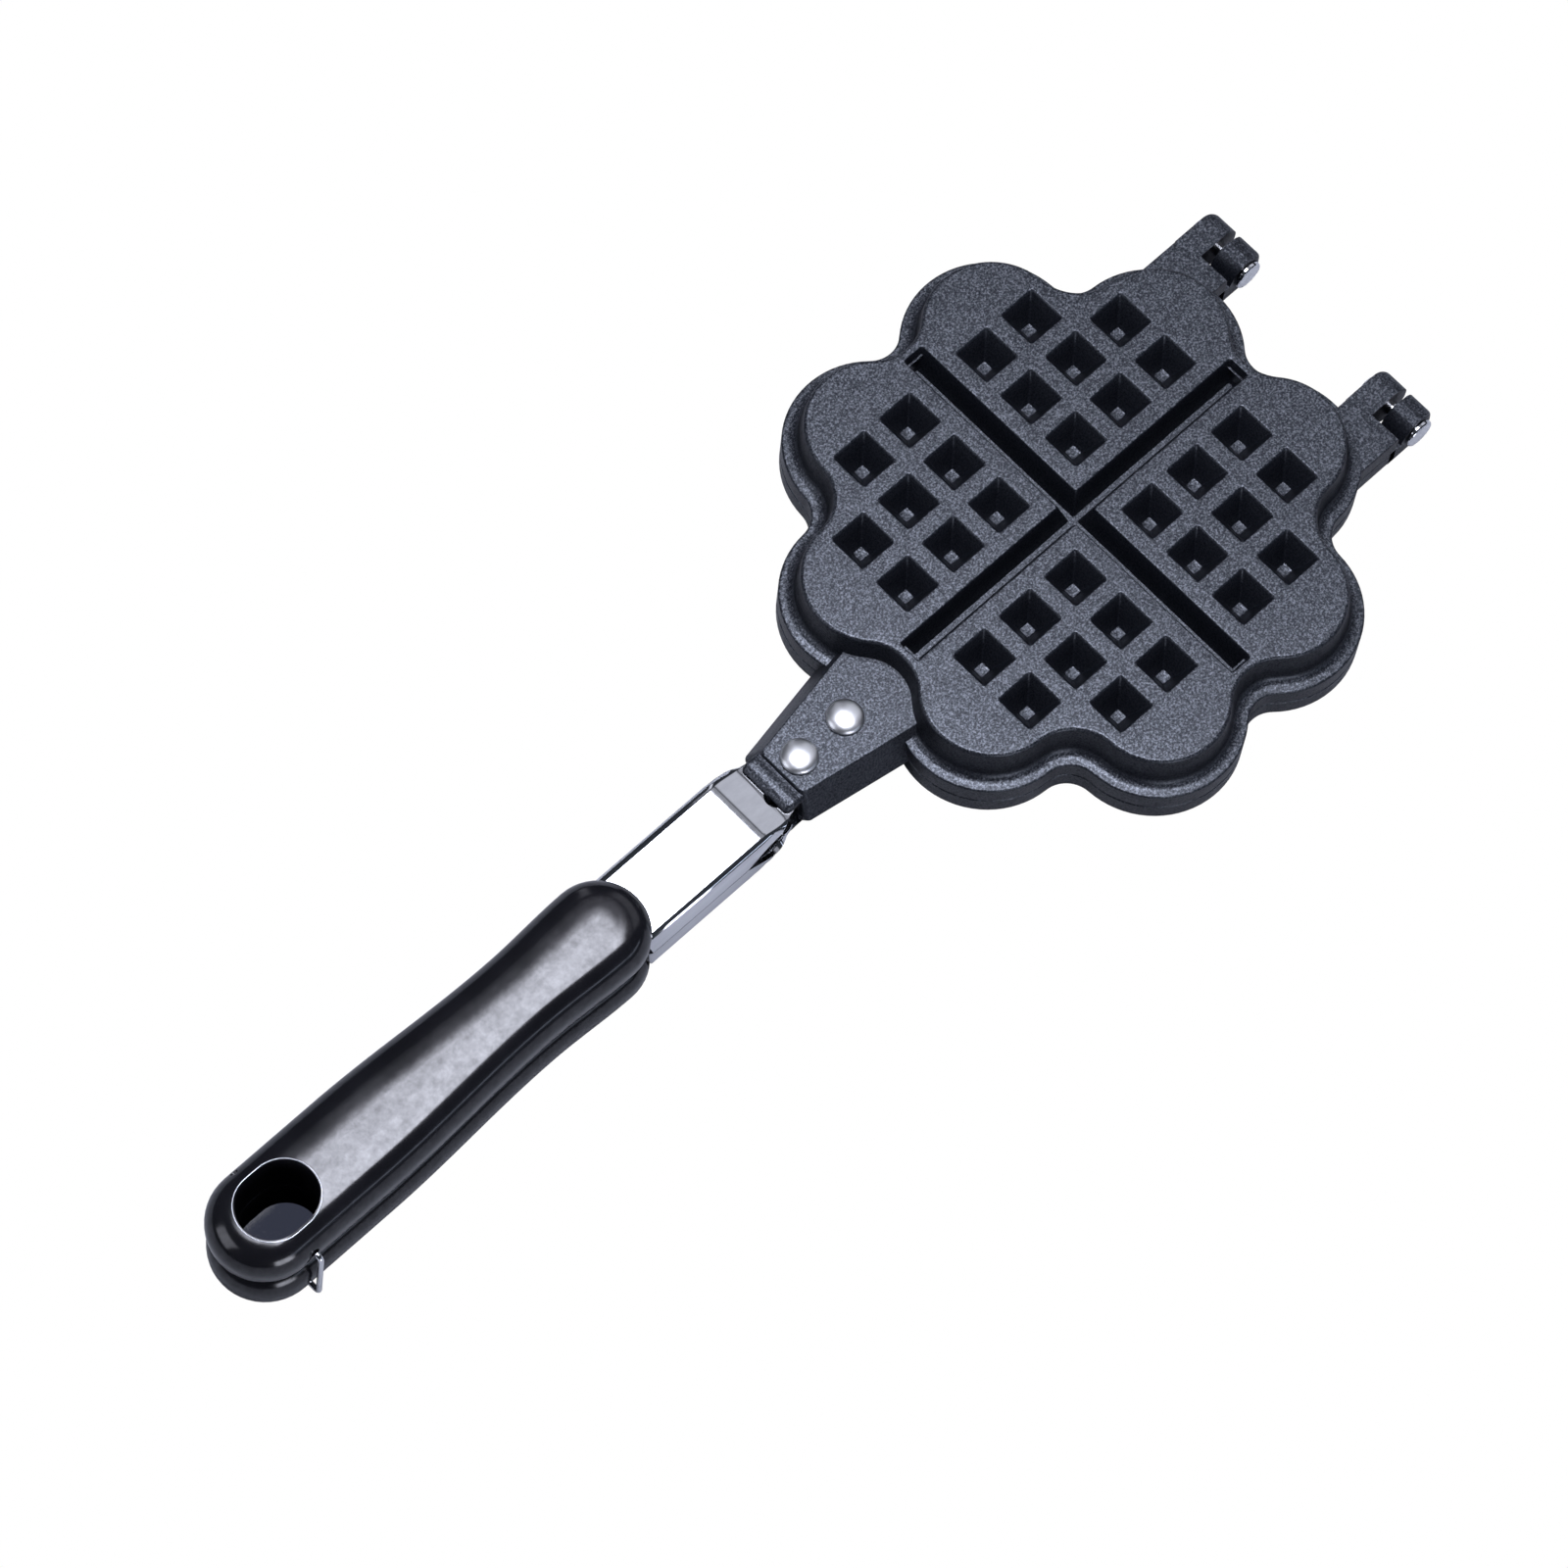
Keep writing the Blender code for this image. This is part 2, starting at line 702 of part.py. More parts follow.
def tang():
    """Pressed strip: flat neck under the boss, a rise, a channel growing out, and a tongue."""
    neck_top = boss_height - boss_wall - fit_clearance
    full_run = tang_bend_radius * math.pi / 2 + tang_height - tang_bend_radius - half_gap
    wide = tang_half_width - tang_bend_radius
    neck = neck_half_width
    channel_end = grip_start_reach + mouth_depth - fit_clearance * 2
    tongue_end = grip_start_reach + mouth_depth + tongue_length
    rings = [tang_section(tang_start_reach, neck, neck_top, tang_stub)]
    rings.append(tang_section(neck_end_reach, neck, neck_top, tang_stub))
    rings.append(tang_section(tang_flare_reach, wide, neck_top, tang_stub * 2))
    steps = 6
    for i in range(1, steps + 1):
        share = i / steps
        x = tang_flare_reach + (flange_full_reach - tang_flare_reach) * share
        rise = min(1.0, (x - tang_flare_reach) / (tang_rise_reach - tang_flare_reach))
        rise = rise * rise * (3 - 2 * rise)
        top = neck_top + (tang_height - neck_top) * rise
        run = tang_stub * 2 + (full_run - tang_stub * 2) * share
        longest = tang_bend_radius * math.pi / 2 + top - tang_bend_radius - half_gap
        rings.append(tang_section(x, wide, top, min(run, longest)))
    rings.append(tang_section(channel_end - tang_thickness, wide, tang_height, full_run))
    tongue_flat = tongue_half_width - tang_stub
    rings.append(tang_section(channel_end, tongue_flat, tang_height, tang_stub))
    for along, wide_share in tongue_end_shares:
        x = tongue_end - tongue_half_width * (1 - along)
        rings.append(tang_section(x, tongue_flat * wide_share, tang_height, tang_stub))
    mesh = mesh_of(loft(rings), "tang")
    holes = bmesh.new()
    radius = rivet_shank_diameter / 2 + fit_clearance
    for reach in rivet_reaches:
        cylinder(radius, 0, boss_height, from_plate(-reach, 0, 0), "Z", holes, small_segments)
    vent = from_plate(-vent_reach, -vent_offset, 0)
    cylinder(vent_diameter / 2, 0, boss_height, vent, "Z", holes, turn_segments)
    radius = screw_shank_diameter / 2 + fit_clearance
    cylinder(radius, 0, tang_height + cut_overrun, from_plate(-screw_reach(), 0, 0), "Z", holes,
             small_segments)
    return tidy(combine(mesh, holes, "DIFFERENCE", "tang"))


def screw_reach():
    return grip_start_reach + mouth_depth + tongue_length - screw_setback


# Grip

def grip_outline(inset, z):
    """The grip seen from above: round front, waist and round tail, pulled in by an inset."""
    front = grip_front_half_width
    tail = grip_tail_half_width
    front_centre = -(grip_start_reach + front)
    tail_centre = -(tail_reach - tail)
    span = front_centre - tail_centre
    side = []
    for share in arc(0, 1, 10)[1:-1]:
        if share < waist_share:
            blend = 0.5 - 0.5 * math.cos(math.pi * share / waist_share)
            wide = front + (grip_waist_half_width - front) * blend
        else:
            blend = 0.5 - 0.5 * math.cos(math.pi * min(1.0, (share - waist_share) / waist_fade_share))
            wide = grip_waist_half_width + (tail - grip_waist_half_width) * blend
        side.append((front_centre - span * share, wide - inset))
    points = []
    for angle in arc(-math.pi / 2, math.pi / 2, 10):
        radius = front - inset
        points.append((front_centre + radius * math.cos(angle), radius * math.sin(angle)))
    points += side
    for angle in arc(math.pi / 2, 3 * math.pi / 2, 10):
        radius = tail - inset
        points.append((tail_centre + radius * math.cos(angle), radius * math.sin(angle)))
    points += [(x, -y) for x, y in side[::-1]]
    return [from_plate(x, y, z) for x, y in points]


def grip_block():
    rings = []
    for inward, down in quarter_round(3):
        rings.append(grip_outline(grip_under_round * inward, grip_mate_gap + grip_under_round * down))
    for inward, down in quarter_round(4)[::-1]:
        rings.append(grip_outline(grip_top_round * inward, grip_height - grip_top_round * down))
    return loft(rings)


def obround(radius, z):
    points = []
    half = hole_straight / 2
    for angle in arc(-math.pi / 2, math.pi / 2, obround_steps):
        points.append((half + radius * math.cos(angle), radius * math.sin(angle)))
    for angle in arc(math.pi / 2, 3 * math.pi / 2, obround_steps):
        points.append((-half + radius * math.cos(angle), radius * math.sin(angle)))
    return [from_plate(x - hole_reach, y, z) for x, y in points]


def hanging_hole():
    """The through hole, drafted from the face to the mating side, with an eased rim."""
    rings = [obround(hole_radius - hole_draft, grip_mate_gap - cut_overrun)]
    rings.append(obround(hole_radius - hole_edge_round, grip_height - hole_edge_round))
    rings.append(obround(hole_radius, grip_height))
    rings.append(obround(hole_radius, grip_height + cut_overrun))
    return loft(rings)


def grip_socket():
    """The mouth that the channel enters, and the trough that the tongue lies in."""
    ceiling = tang_height + fit_clearance
    inner = grip_start_reach + mouth_depth
    wide = grip_front_half_width + cut_overrun
    low = -cut_overrun
    mouth = box((-inner, -grip_start_reach + cut_overrun), (-wide, wide), (low, ceiling))
    end = inner + tongue_length + fit_clearance
    half = tongue_half_width + fit_clearance
    trough = box((-end, -inner + cut_overrun), (-half, half), (low, ceiling))
    return mouth, trough


def side_surface(height, half_width):
    """How far the grip's side stands from the middle at a height above the parting plane."""
    under = grip_mate_gap + grip_under_round
    over = grip_height - grip_top_round
    if height < under:
        drop = under - height
        return half_width - grip_under_round + math.sqrt(grip_under_round ** 2 - drop ** 2)
    if height > over:
        drop = height - over
        return half_width - grip_top_round + math.sqrt(grip_top_round ** 2 - drop ** 2)
    return half_width


def clip_features():
    """The clip's foot bore on the +Y side, and the dimple for its tip on the -Y side.

    Both halves come from one mould, so each grip has both. In the lower grip, turned over,
    the bore faces -Y and takes the foot; in the upper grip the dimple faces -Y.
    """
    skin = side_surface(clip_pivot_height, grip_tail_half_width)
    radius = wire_diameter / 2 + fit_clearance
    foot = from_plate(-clip_reach, 0, clip_pivot_height)
    inner = skin - clip_foot_depth - fit_clearance
    bore = cylinder(radius, inner, skin + cut_overrun * 2, foot, "Y", None, small_segments)
    tip = from_plate(-(clip_reach - clip_lean), 0, clip_tip_height)
    skin = side_surface(clip_tip_height, grip_tail_half_width)
    dimple = cylinder(dimple_diameter / 2, -skin - cut_overrun, -skin + dimple_depth, tip, "Y", None, small_segments)
    return bore, dimple


def screw_pilot():
    radius = screw_shank_diameter / 2 + fit_clearance
    top = tang_height + screw_bite + fit_clearance
    centre = from_plate(-screw_reach(), 0, 0)
    return cylinder(radius, tang_height - cut_overrun, top, centre, "Z", None, small_segments)


def grip():
    mesh = mesh_of(grip_block(), "grip")
    for cutter in [hanging_hole(), *grip_socket(), screw_pilot(), *clip_features()]:
        mesh = combine(mesh, cutter, "DIFFERENCE", "grip")
    return tidy(mesh)


def grip_screw():
    """Pan-head screw driven up from the mating side, with its origin under the tongue."""
    face = -tang_thickness - fit_clearance
    profile = []
    for wide, deep in screw_head_round_shares:
        profile.append((screw_head_diameter / 2 * wide, face - screw_head_height * deep))
    profile.append((screw_head_diameter / 2, face))
    profile.append((screw_shank_diameter / 2, face))
    for wide, deep in screw_point_shares:
        profile.append((screw_shank_diameter / 2 * wide, screw_bite * deep))
    return mesh_of(turned(profile, small_segments), "grip_screw")


# Locking clip

def rounded_path(corners, radius, steps=5):
    """A path through corners, with each inner corner turned on a radius."""
    path = [corners[0]]
    for before, corner, after in zip(corners, corners[1:], corners[2:]):
        back = (before - corner).normalized()
        ahead = (after - corner).normalized()
        half = back.angle(ahead) / 2
        reach = radius / math.tan(half)
        centre = corner + (back + ahead).normalized() * (radius / math.sin(half))
        start = corner + back * reach - centre
        end = corner + ahead * reach - centre
        swing = start.angle(end)
        for angle in arc(0, swing, steps):
            part = start * math.sin(swing - angle) + end * math.sin(angle)
            path.append(centre + part / math.sin(swing))
    path.append(corners[-1])
    return path


def locking_clip(name, finish):
    """One bent wire: foot in the lower grip's side, upright leg, and a tip turned inward."""
    foot_skin = side_surface(clip_pivot_height, grip_tail_half_width)
    tip_skin = side_surface(clip_tip_height, grip_tail_half_width)
    rise = clip_pivot_height + clip_tip_height
    leg_low = -(grip_tail_half_width + clip_foot_standoff)
    leg_high = -(tip_skin + clip_tip_clearance + clip_bend_radius)
    corners = [Vector((0, -(foot_skin - clip_foot_depth), 0)), Vector((0, leg_low, 0))]
    corners += [Vector((clip_lean, leg_high, rise)), Vector((clip_lean, -tip_skin - clip_tip_clearance, rise))]
    curve = bpy.data.curves.new(name, "CURVE")
    curve.dimensions = "3D"
    curve.bevel_depth = wire_diameter / 2
    curve.bevel_resolution = wire_resolution
    curve.use_fill_caps = True
    path = rounded_path(corners, clip_bend_radius * clip_bend_share)
    spline = curve.splines.new("POLY")
    spline.points.add(len(path) - 1)
    for point, place_at in zip(spline.points, path):
        point.co = (*place_at, 1.0)
    spline.use_smooth = True
    made = bpy.data.objects.new(name, curve)
    bpy.context.scene.collection.objects.link(made)
    curve.materials.append(finish)
    made.location = (origin_shift - clip_reach, 0, parting_z - clip_pivot_height)
    return made


# The whole iron

def main():
    for made in list(bpy.data.objects):
        bpy.data.objects.remove(made, do_unlink=True)

    coating = material("non_stick_coating", (0.055, 0.060, 0.070), 0.42, 0.2)
    bakelite = material("black_bakelite", (0.012, 0.012, 0.014), 0.16, 0.0)
    steel = material("polished_steel", (0.78, 0.78, 0.80), 0.12, 1.0)
    aluminium = material("rivet_aluminium", (0.74, 0.75, 0.77), 0.25, 1.0)

    pan_mesh = casting()
    tang_mesh = tang()
    rivet_mesh = rivet()
    grip_mesh = grip()
    screw_mesh = grip_screw()
    pin_mesh = hinge_pin()

    axis_point = (hinge_x, 0, parting_z)
    halves = {"upper": empty("upper_half", axis_point)}
    halves["lower"] = empty("lower_half", axis_point, (math.pi, 0, 0))
    for half, carrier in halves.items():
        place(half + "_pan", pan_mesh, coating, carrier)
        place(half + "_tang", tang_mesh, steel, carrier)
        for label, reach in zip(("plate_side", "tang_side"), rivet_reaches):
            seat = from_plate(-reach, 0, boss_height)
            place(half + "_rivet_" + label, rivet_mesh, aluminium, carrier, seat)
        place(half + "_grip", grip_mesh, bakelite, carrier)
        seat = from_plate(-screw_reach(), 0, tang_height)
        place(half + "_grip_screw", screw_mesh, steel, carrier, seat)

    for label, side in (("left", 1), ("right", -1)):
        seat = (hinge_x, side * arm_centre, parting_z)
        place("hinge_pin_" + label, pin_mesh, steel, None, seat)
    locking_clip("locking_clip", steel)


main()
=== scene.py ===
"""Stovetop waffle iron lying closed on a pale table, seen from above its handle's right side."""

import math

import bmesh
import bpy
from mathutils import Matrix, Vector
from mathutils.geometry import delaunay_2d_cdt


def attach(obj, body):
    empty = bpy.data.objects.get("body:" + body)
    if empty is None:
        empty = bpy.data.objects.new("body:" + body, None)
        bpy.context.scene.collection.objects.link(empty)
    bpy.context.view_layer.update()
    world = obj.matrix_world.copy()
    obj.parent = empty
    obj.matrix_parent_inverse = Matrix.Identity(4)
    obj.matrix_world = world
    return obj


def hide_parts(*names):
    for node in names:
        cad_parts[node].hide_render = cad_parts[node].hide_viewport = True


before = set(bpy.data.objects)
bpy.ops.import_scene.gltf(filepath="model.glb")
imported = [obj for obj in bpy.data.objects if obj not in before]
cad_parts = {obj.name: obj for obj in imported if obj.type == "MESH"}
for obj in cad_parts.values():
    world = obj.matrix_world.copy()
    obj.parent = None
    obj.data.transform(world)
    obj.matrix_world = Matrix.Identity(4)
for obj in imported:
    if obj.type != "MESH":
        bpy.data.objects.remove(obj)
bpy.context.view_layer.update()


# Camera. A long lens on a tall stand, high over the handle's right side and turned a little,
# so that the iron lies slantwise across the frame, as the product was photographed.
def aim(position, azimuth, elevation, roll):
    """A camera matrix that looks at the iron from an azimuth and elevation in degrees."""
    az, el, turn = (math.radians(v) for v in (azimuth, elevation, roll))
    back = Vector((math.cos(el) * math.cos(az), math.cos(el) * math.sin(az), math.sin(el)))
    right = (-back).cross(Vector((0, 0, 1))).normalized()
    up = right.cross(-back)
    side = right * math.cos(turn) + up * math.sin(turn)
    top = up * math.cos(turn) - right * math.sin(turn)
    return Matrix.Translation(position) @ Matrix((side, top, back)).transposed().to_4x4()


lens = bpy.data.cameras.new("camera")
lens.lens = 149.65
lens.sensor_width = 36
lens.clip_end = 20
camera_place = (-0.49534, -0.40423, 1.50021)
camera_azimuth = -140.64
camera_elevation = 66.76
camera_roll = 7.33
camera = bpy.data.objects.new("camera", lens)
bpy.context.scene.collection.objects.link(camera)
camera.matrix_world = aim(camera_place, camera_azimuth, camera_elevation, camera_roll)
bpy.context.scene.camera = camera
bpy.context.scene.view_settings.view_transform = "Standard"


# Table and light. A white table, plain white to the eye but for a painted shade in the hanging hole.
# A large bluish soft box overhead glares in the flat tops of the handle, and weaker cloths
# stand for the ceiling, walls and windows that glint along the sides.
def nodes_of(material):
    material.use_nodes = True
    tree = material.node_tree
    return tree, tree.nodes["Principled BSDF"]


def ray_switch(tree, seen, unseen):
    """One colour where the camera looks, and another for what reflects it."""
    rays = tree.nodes.new("ShaderNodeLightPath")
    pick = tree.nodes.new("ShaderNodeMix")
    pick.data_type = "RGBA"
    pick.inputs["A"].default_value = (*unseen, 1)
    pick.inputs["B"].default_value = (*seen, 1)
    tree.links.new(rays.outputs["Is Camera Ray"], pick.inputs["Factor"])
    return pick


def flat_piece(name, half_x, half_y, face_up=True):
    """A flat sheet of the studio about its own origin, facing up or down."""
    corners = [(-half_x, -half_y, 0), (half_x, -half_y, 0), (half_x, half_y, 0), (-half_x, half_y, 0)]
    if not face_up:
        corners = [corners[0], *corners[:0:-1]]
    mesh = bpy.data.meshes.new(name)
    mesh.from_pydata(corners, [], [(0, 1, 2, 3)])
    made = bpy.data.objects.new(name, mesh)
    bpy.context.scene.collection.objects.link(made)
    return made


table_half = 6
table_drop = 0.0006
hole_place = (-0.1700, 0, 0)
hole_shade_reach = 0.0104
table = flat_piece("table", table_half, table_half)
table.location.z = -table_drop
table_paint = bpy.data.materials.new("table_paint")
tree, shader = nodes_of(table_paint)
paint = ray_switch(tree, (0.0, 0.0, 0.0), (0.45, 0.46, 0.49))
tree.links.new(paint.outputs["Result"], shader.inputs["Base Color"])
shader.inputs["Roughness"].default_value = 0.9
shader.inputs["Specular IOR Level"].default_value = 0.0
shader.inputs["Emission Color"].default_value = (1, 1, 1, 1)
seen_light = ray_switch(tree, (1.0, 1.0, 1.0), (0.0, 0.0, 0.0))
tree.links.new(seen_light.outputs["Result"], shader.inputs["Emission Strength"])
away = tree.nodes.new("ShaderNodeVectorMath")
away.operation = "DISTANCE"
away.inputs[1].default_value = hole_place
tree.links.new(tree.nodes.new("ShaderNodeTexCoord").outputs["Object"], away.inputs[0])
near = tree.nodes.new("ShaderNodeMath")
near.operation = "LESS_THAN"
near.inputs[1].default_value = hole_shade_reach
tree.links.new(away.outputs["Value"], near.inputs[0])
# Painted shade: within the hole's reach the camera sees a dark bluish glow instead of white, darker where
# the table is more enclosed.
open_sky = tree.nodes.new("ShaderNodeAmbientOcclusion")
open_sky.inputs["Distance"].default_value = 0.08
depth = tree.nodes.new("ShaderNodeValToRGB")
depth.color_ramp.elements[0].position = 0.30
depth.color_ramp.elements[0].color = (0.034, 0.038, 0.058, 1)
depth.color_ramp.elements[1].position = 0.46
tree.links.new(open_sky.outputs["AO"], depth.inputs["Fac"])
painted_hole_shade = tree.nodes.new("ShaderNodeEmission")
tree.links.new(depth.outputs["Color"], painted_hole_shade.inputs["Color"])
tree.links.new(seen_light.outputs["Result"], painted_hole_shade.inputs["Strength"])
ground = tree.nodes.new("ShaderNodeMixShader")
tree.links.new(near.outputs[0], ground.inputs["Fac"])
tree.links.new(shader.outputs["BSDF"], ground.inputs[1])
tree.links.new(painted_hole_shade.outputs["Emission"], ground.inputs[2])
tree.links.new(ground.outputs["Shader"], tree.nodes["Material Output"].inputs["Surface"])
table.data.materials.append(table_paint)

world = bpy.data.worlds.new("studio")
bpy.context.scene.world = world
world.use_nodes = True
sky = world.node_tree.nodes["Background"]
room = ray_switch(world.node_tree, (1, 1, 1), (0.030, 0.034, 0.042))
world.node_tree.links.new(room.outputs["Result"], sky.inputs["Color"])
sky.inputs["Strength"].default_value = 1.0


def glowing_cloth(name, half_x, half_y, fade, radiance, colour):
    """Cloth of a soft box: bright in the middle, fading to nothing along its four edges."""
    made = bpy.data.materials.new(name)
    tree, shader = nodes_of(made)
    tree.nodes.remove(shader)
    place = tree.nodes.new("ShaderNodeTexCoord").outputs["Object"]
    axes = tree.nodes.new("ShaderNodeSeparateXYZ")
    tree.links.new(place, axes.inputs["Vector"])
    level = None
    for axis, half in (("X", half_x), ("Y", half_y)):
        size = tree.nodes.new("ShaderNodeMath")
        size.operation = "ABSOLUTE"
        tree.links.new(axes.outputs[axis], size.inputs[0])
        edge = tree.nodes.new("ShaderNodeMapRange")
        edge.interpolation_type = "SMOOTHSTEP"
        edge.inputs["From Min"].default_value = half - fade
        edge.inputs["From Max"].default_value = half
        edge.inputs["To Min"].default_value = 1.0
        edge.inputs["To Max"].default_value = 0.0
        tree.links.new(size.outputs[0], edge.inputs["Value"])
        if level is None:
            level = edge.outputs["Result"]
        else:
            both = tree.nodes.new("ShaderNodeMath")
            both.operation = "MULTIPLY"
            tree.links.new(level, both.inputs[0])
            tree.links.new(edge.outputs["Result"], both.inputs[1])
            level = both.outputs[0]
    power = tree.nodes.new("ShaderNodeMath")
    power.operation = "MULTIPLY"
    power.inputs[1].default_value = radiance
    tree.links.new(level, power.inputs[0])
    glow = tree.nodes.new("ShaderNodeEmission")
    glow.inputs["Color"].default_value = (*colour, 1)
    tree.links.new(power.outputs[0], glow.inputs["Strength"])
    tree.links.new(glow.outputs["Emission"], tree.nodes["Material Output"].inputs["Surface"])
    return made


def soft_box(name, position, target, half_x, half_y, fade, radiance, colour):
    """A glowing cloth that faces a target; the camera does not see it."""
    made = flat_piece(name, half_x, half_y, face_up=False)
    made.location = position
    if target:
        made.rotation_euler = (Vector(target) - Vector(position)).to_track_quat("-Z", "Y").to_euler()
    made.data.materials.append(glowing_cloth(name + "_cloth", half_x, half_y, fade, radiance, colour))
    made.visible_camera = False


bluish = (0.94, 0.965, 1.10)
soft_box("overhead_box", (0.072, 0.035, 1.0), None, 0.255, 0.32, 0.07, 12.8, bluish)
soft_box("ceiling", (0.60, 0.05, 1.12), None, 0.34, 0.60, 0.12, 0.32, bluish)
soft_box("far_wall", (0.95, 0.10, 0.70), (0.0, 0.0, 0.0), 0.60, 0.45, 0.20, 0.60, bluish)
soft_box("left_window", (-1.00, 0.45, 0.62), (-0.15, 0.0, 0.02), 0.34, 0.40, 0.06, 2.0, bluish)
soft_box("right_window", (-0.42, -1.15, 0.22), (-0.15, 0.0, 0.02), 0.32, 0.22, 0.05, 5.5, bluish)
soft_box("front_strip", (0.25, -0.9, 0.30), (0.05, 0.0, 0.0), 0.5, 0.05, 0.04, 2.6, (0.80, 0.90, 1.15))
soft_box("back_wall", (0.43, 0.85, 0.50), (0.05, 0.0, 0.0), 0.10, 0.42, 0.05, 0.9, bluish)


# Plates. Two equal aluminium castings in the shape of a flower, with square wells and a cross
# groove in the outer face, pegs and ridges inside, and a speckled non-stick coating all over.
centre_x = 0.097761
parting = 0.0164
half_gap = 0.00015
lobes = 8
lobe_centre = 0.0545
lobe_radius = 0.01835
notch_radius = 0.0129
plate_top = 0.0164
rim_top = 0.006
rim_reach = 0.005
well_pitch = 0.016004
well_top_width = 0.011
well_floor_width = 0.003
groove_top_width = 0.0064
groove_floor_width = 0.0016
shell = 0.0021
corner_steps = 3
half_pitch = math.pi / lobes
notch_centre = lobe_centre * math.cos(half_pitch) + math.sqrt(
    (lobe_radius + notch_radius) ** 2 - (lobe_centre * math.sin(half_pitch)) ** 2)
notch_edge = notch_centre - notch_radius


def coating_material(name, shade, speckle, roughness):
    """Baked-on coating: near black, with fine pale specks that also break up its shine, and a painted
    shade that thins the specks and the shine on its steep sides.
    """
    made = bpy.data.materials.new(name)
    tree, shader = nodes_of(made)
    place = tree.nodes.new("ShaderNodeTexCoord").outputs["Object"]
    specks = tree.nodes.new("ShaderNodeTexNoise")
    specks.inputs["Scale"].default_value = 1900
    specks.inputs["Detail"].default_value = 2
    specks.inputs["Roughness"].default_value = 0.65
    tree.links.new(place, specks.inputs["Vector"])
    ramp = tree.nodes.new("ShaderNodeValToRGB")
    ramp.color_ramp.elements[0].position = 0.50
    ramp.color_ramp.elements[0].color = (*shade, 1)
    ramp.color_ramp.elements[1].position = 0.74
    ramp.color_ramp.elements[1].color = (*speckle, 1)
    # Painted shade: the steeper a face, the fewer pale specks and the less shine it gets, so walls come
    # out darker than flat tops.
    facing = tree.nodes.new("ShaderNodeSeparateXYZ")
    tree.links.new(tree.nodes.new("ShaderNodeTexCoord").outputs["Normal"], facing.inputs["Vector"])
    level = tree.nodes.new("ShaderNodeMath")
    level.operation = "ABSOLUTE"
    tree.links.new(facing.outputs["Z"], level.inputs[0])
    painted_wall_shade = tree.nodes.new("ShaderNodeMapRange")
    painted_wall_shade.inputs["From Min"].default_value = 0.25
    painted_wall_shade.inputs["From Max"].default_value = 0.85
    painted_wall_shade.inputs["To Min"].default_value = 0.30
    tree.links.new(level.outputs[0], painted_wall_shade.inputs["Value"])
    shaded_specks = tree.nodes.new("ShaderNodeMath")
    shaded_specks.operation = "MULTIPLY"
    tree.links.new(specks.outputs["Fac"], shaded_specks.inputs[0])
    tree.links.new(painted_wall_shade.outputs["Result"], shaded_specks.inputs[1])
    tree.links.new(shaded_specks.outputs[0], ramp.inputs["Fac"])
    tree.links.new(ramp.outputs["Color"], shader.inputs["Base Color"])
    clouds = tree.nodes.new("ShaderNodeTexNoise")
    clouds.inputs["Scale"].default_value = 70
    clouds.inputs["Detail"].default_value = 4
    tree.links.new(place, clouds.inputs["Vector"])
    haze = tree.nodes.new("ShaderNodeMapRange")
    haze.inputs["To Min"].default_value = roughness - 0.03
    haze.inputs["To Max"].default_value = roughness + 0.03
    tree.links.new(clouds.outputs["Fac"], haze.inputs["Value"])
    tree.links.new(haze.outputs["Result"], shader.inputs["Roughness"])
    shine = tree.nodes.new("ShaderNodeMapRange")
    shine.inputs["From Min"].default_value = 0.32
    shine.inputs["From Max"].default_value = 0.68
    shine.inputs["To Min"].default_value = 0.25
    shine.inputs["To Max"].default_value = 1.25
    tree.links.new(specks.outputs["Fac"], shine.inputs["Value"])
    shaded_gloss = tree.nodes.new("ShaderNodeMath")
    shaded_gloss.operation = "MULTIPLY"
    tree.links.new(shine.outputs["Result"], shaded_gloss.inputs[0])
    tree.links.new(painted_wall_shade.outputs["Result"], shaded_gloss.inputs[1])
    tree.links.new(shaded_gloss.outputs[0], shader.inputs["Specular IOR Level"])
    shader.inputs["Specular Tint"].default_value = (0.84, 0.90, 1.0, 1)
    grain = tree.nodes.new("ShaderNodeBump")
    grain.inputs["Strength"].default_value = 0.5
    grain.inputs["Distance"].default_value = 0.00012
    tree.links.new(specks.outputs["Fac"], grain.inputs["Height"])
    tree.links.new(grain.outputs["Normal"], shader.inputs["Normal"])
    return made


coating = coating_material("non_stick_coating", (0.006, 0.0068, 0.0095), (0.13, 0.138, 0.160), 0.37)


def arc(start, end, count):
    return [start + (end - start) * i / count for i in range(count + 1)]


def flower(offset):
    """The plate's outline of lobes and notches, grown by an offset."""
    along = notch_centre * math.cos(half_pitch) - lobe_centre
    lobe_turn = math.atan2(notch_centre * math.sin(half_pitch), along)
    notch_turn = lobe_turn - half_pitch
    points = []
    for k in range(lobes):
        axis = (2 * k + 1) * half_pitch
        for a in arc(axis - lobe_turn, axis + lobe_turn, 26):
            reach = lobe_radius + offset
            points.append((lobe_centre * math.cos(axis) + reach * math.cos(a),
                           lobe_centre * math.sin(axis) + reach * math.sin(a)))
        axis += half_pitch
        for a in arc(axis + math.pi + notch_turn, axis + math.pi - notch_turn, 14)[1:-1]:
            reach = notch_radius - offset
            points.append((notch_centre * math.cos(axis) + reach * math.cos(a),
                           notch_centre * math.sin(axis) + reach * math.sin(a)))
    return points


def rounded_square(x, y, half, corner):
    points = []
    for k, (u, v) in enumerate(((1, -1), (1, 1), (-1, 1), (-1, -1))):
        cx, cy = x + u * (half - corner), y + v * (half - corner)
        for a in arc((k - 1) * math.pi / 2, k * math.pi / 2, corner_steps):
            points.append((cx + corner * math.cos(a), cy + corner * math.sin(a)))
    return points


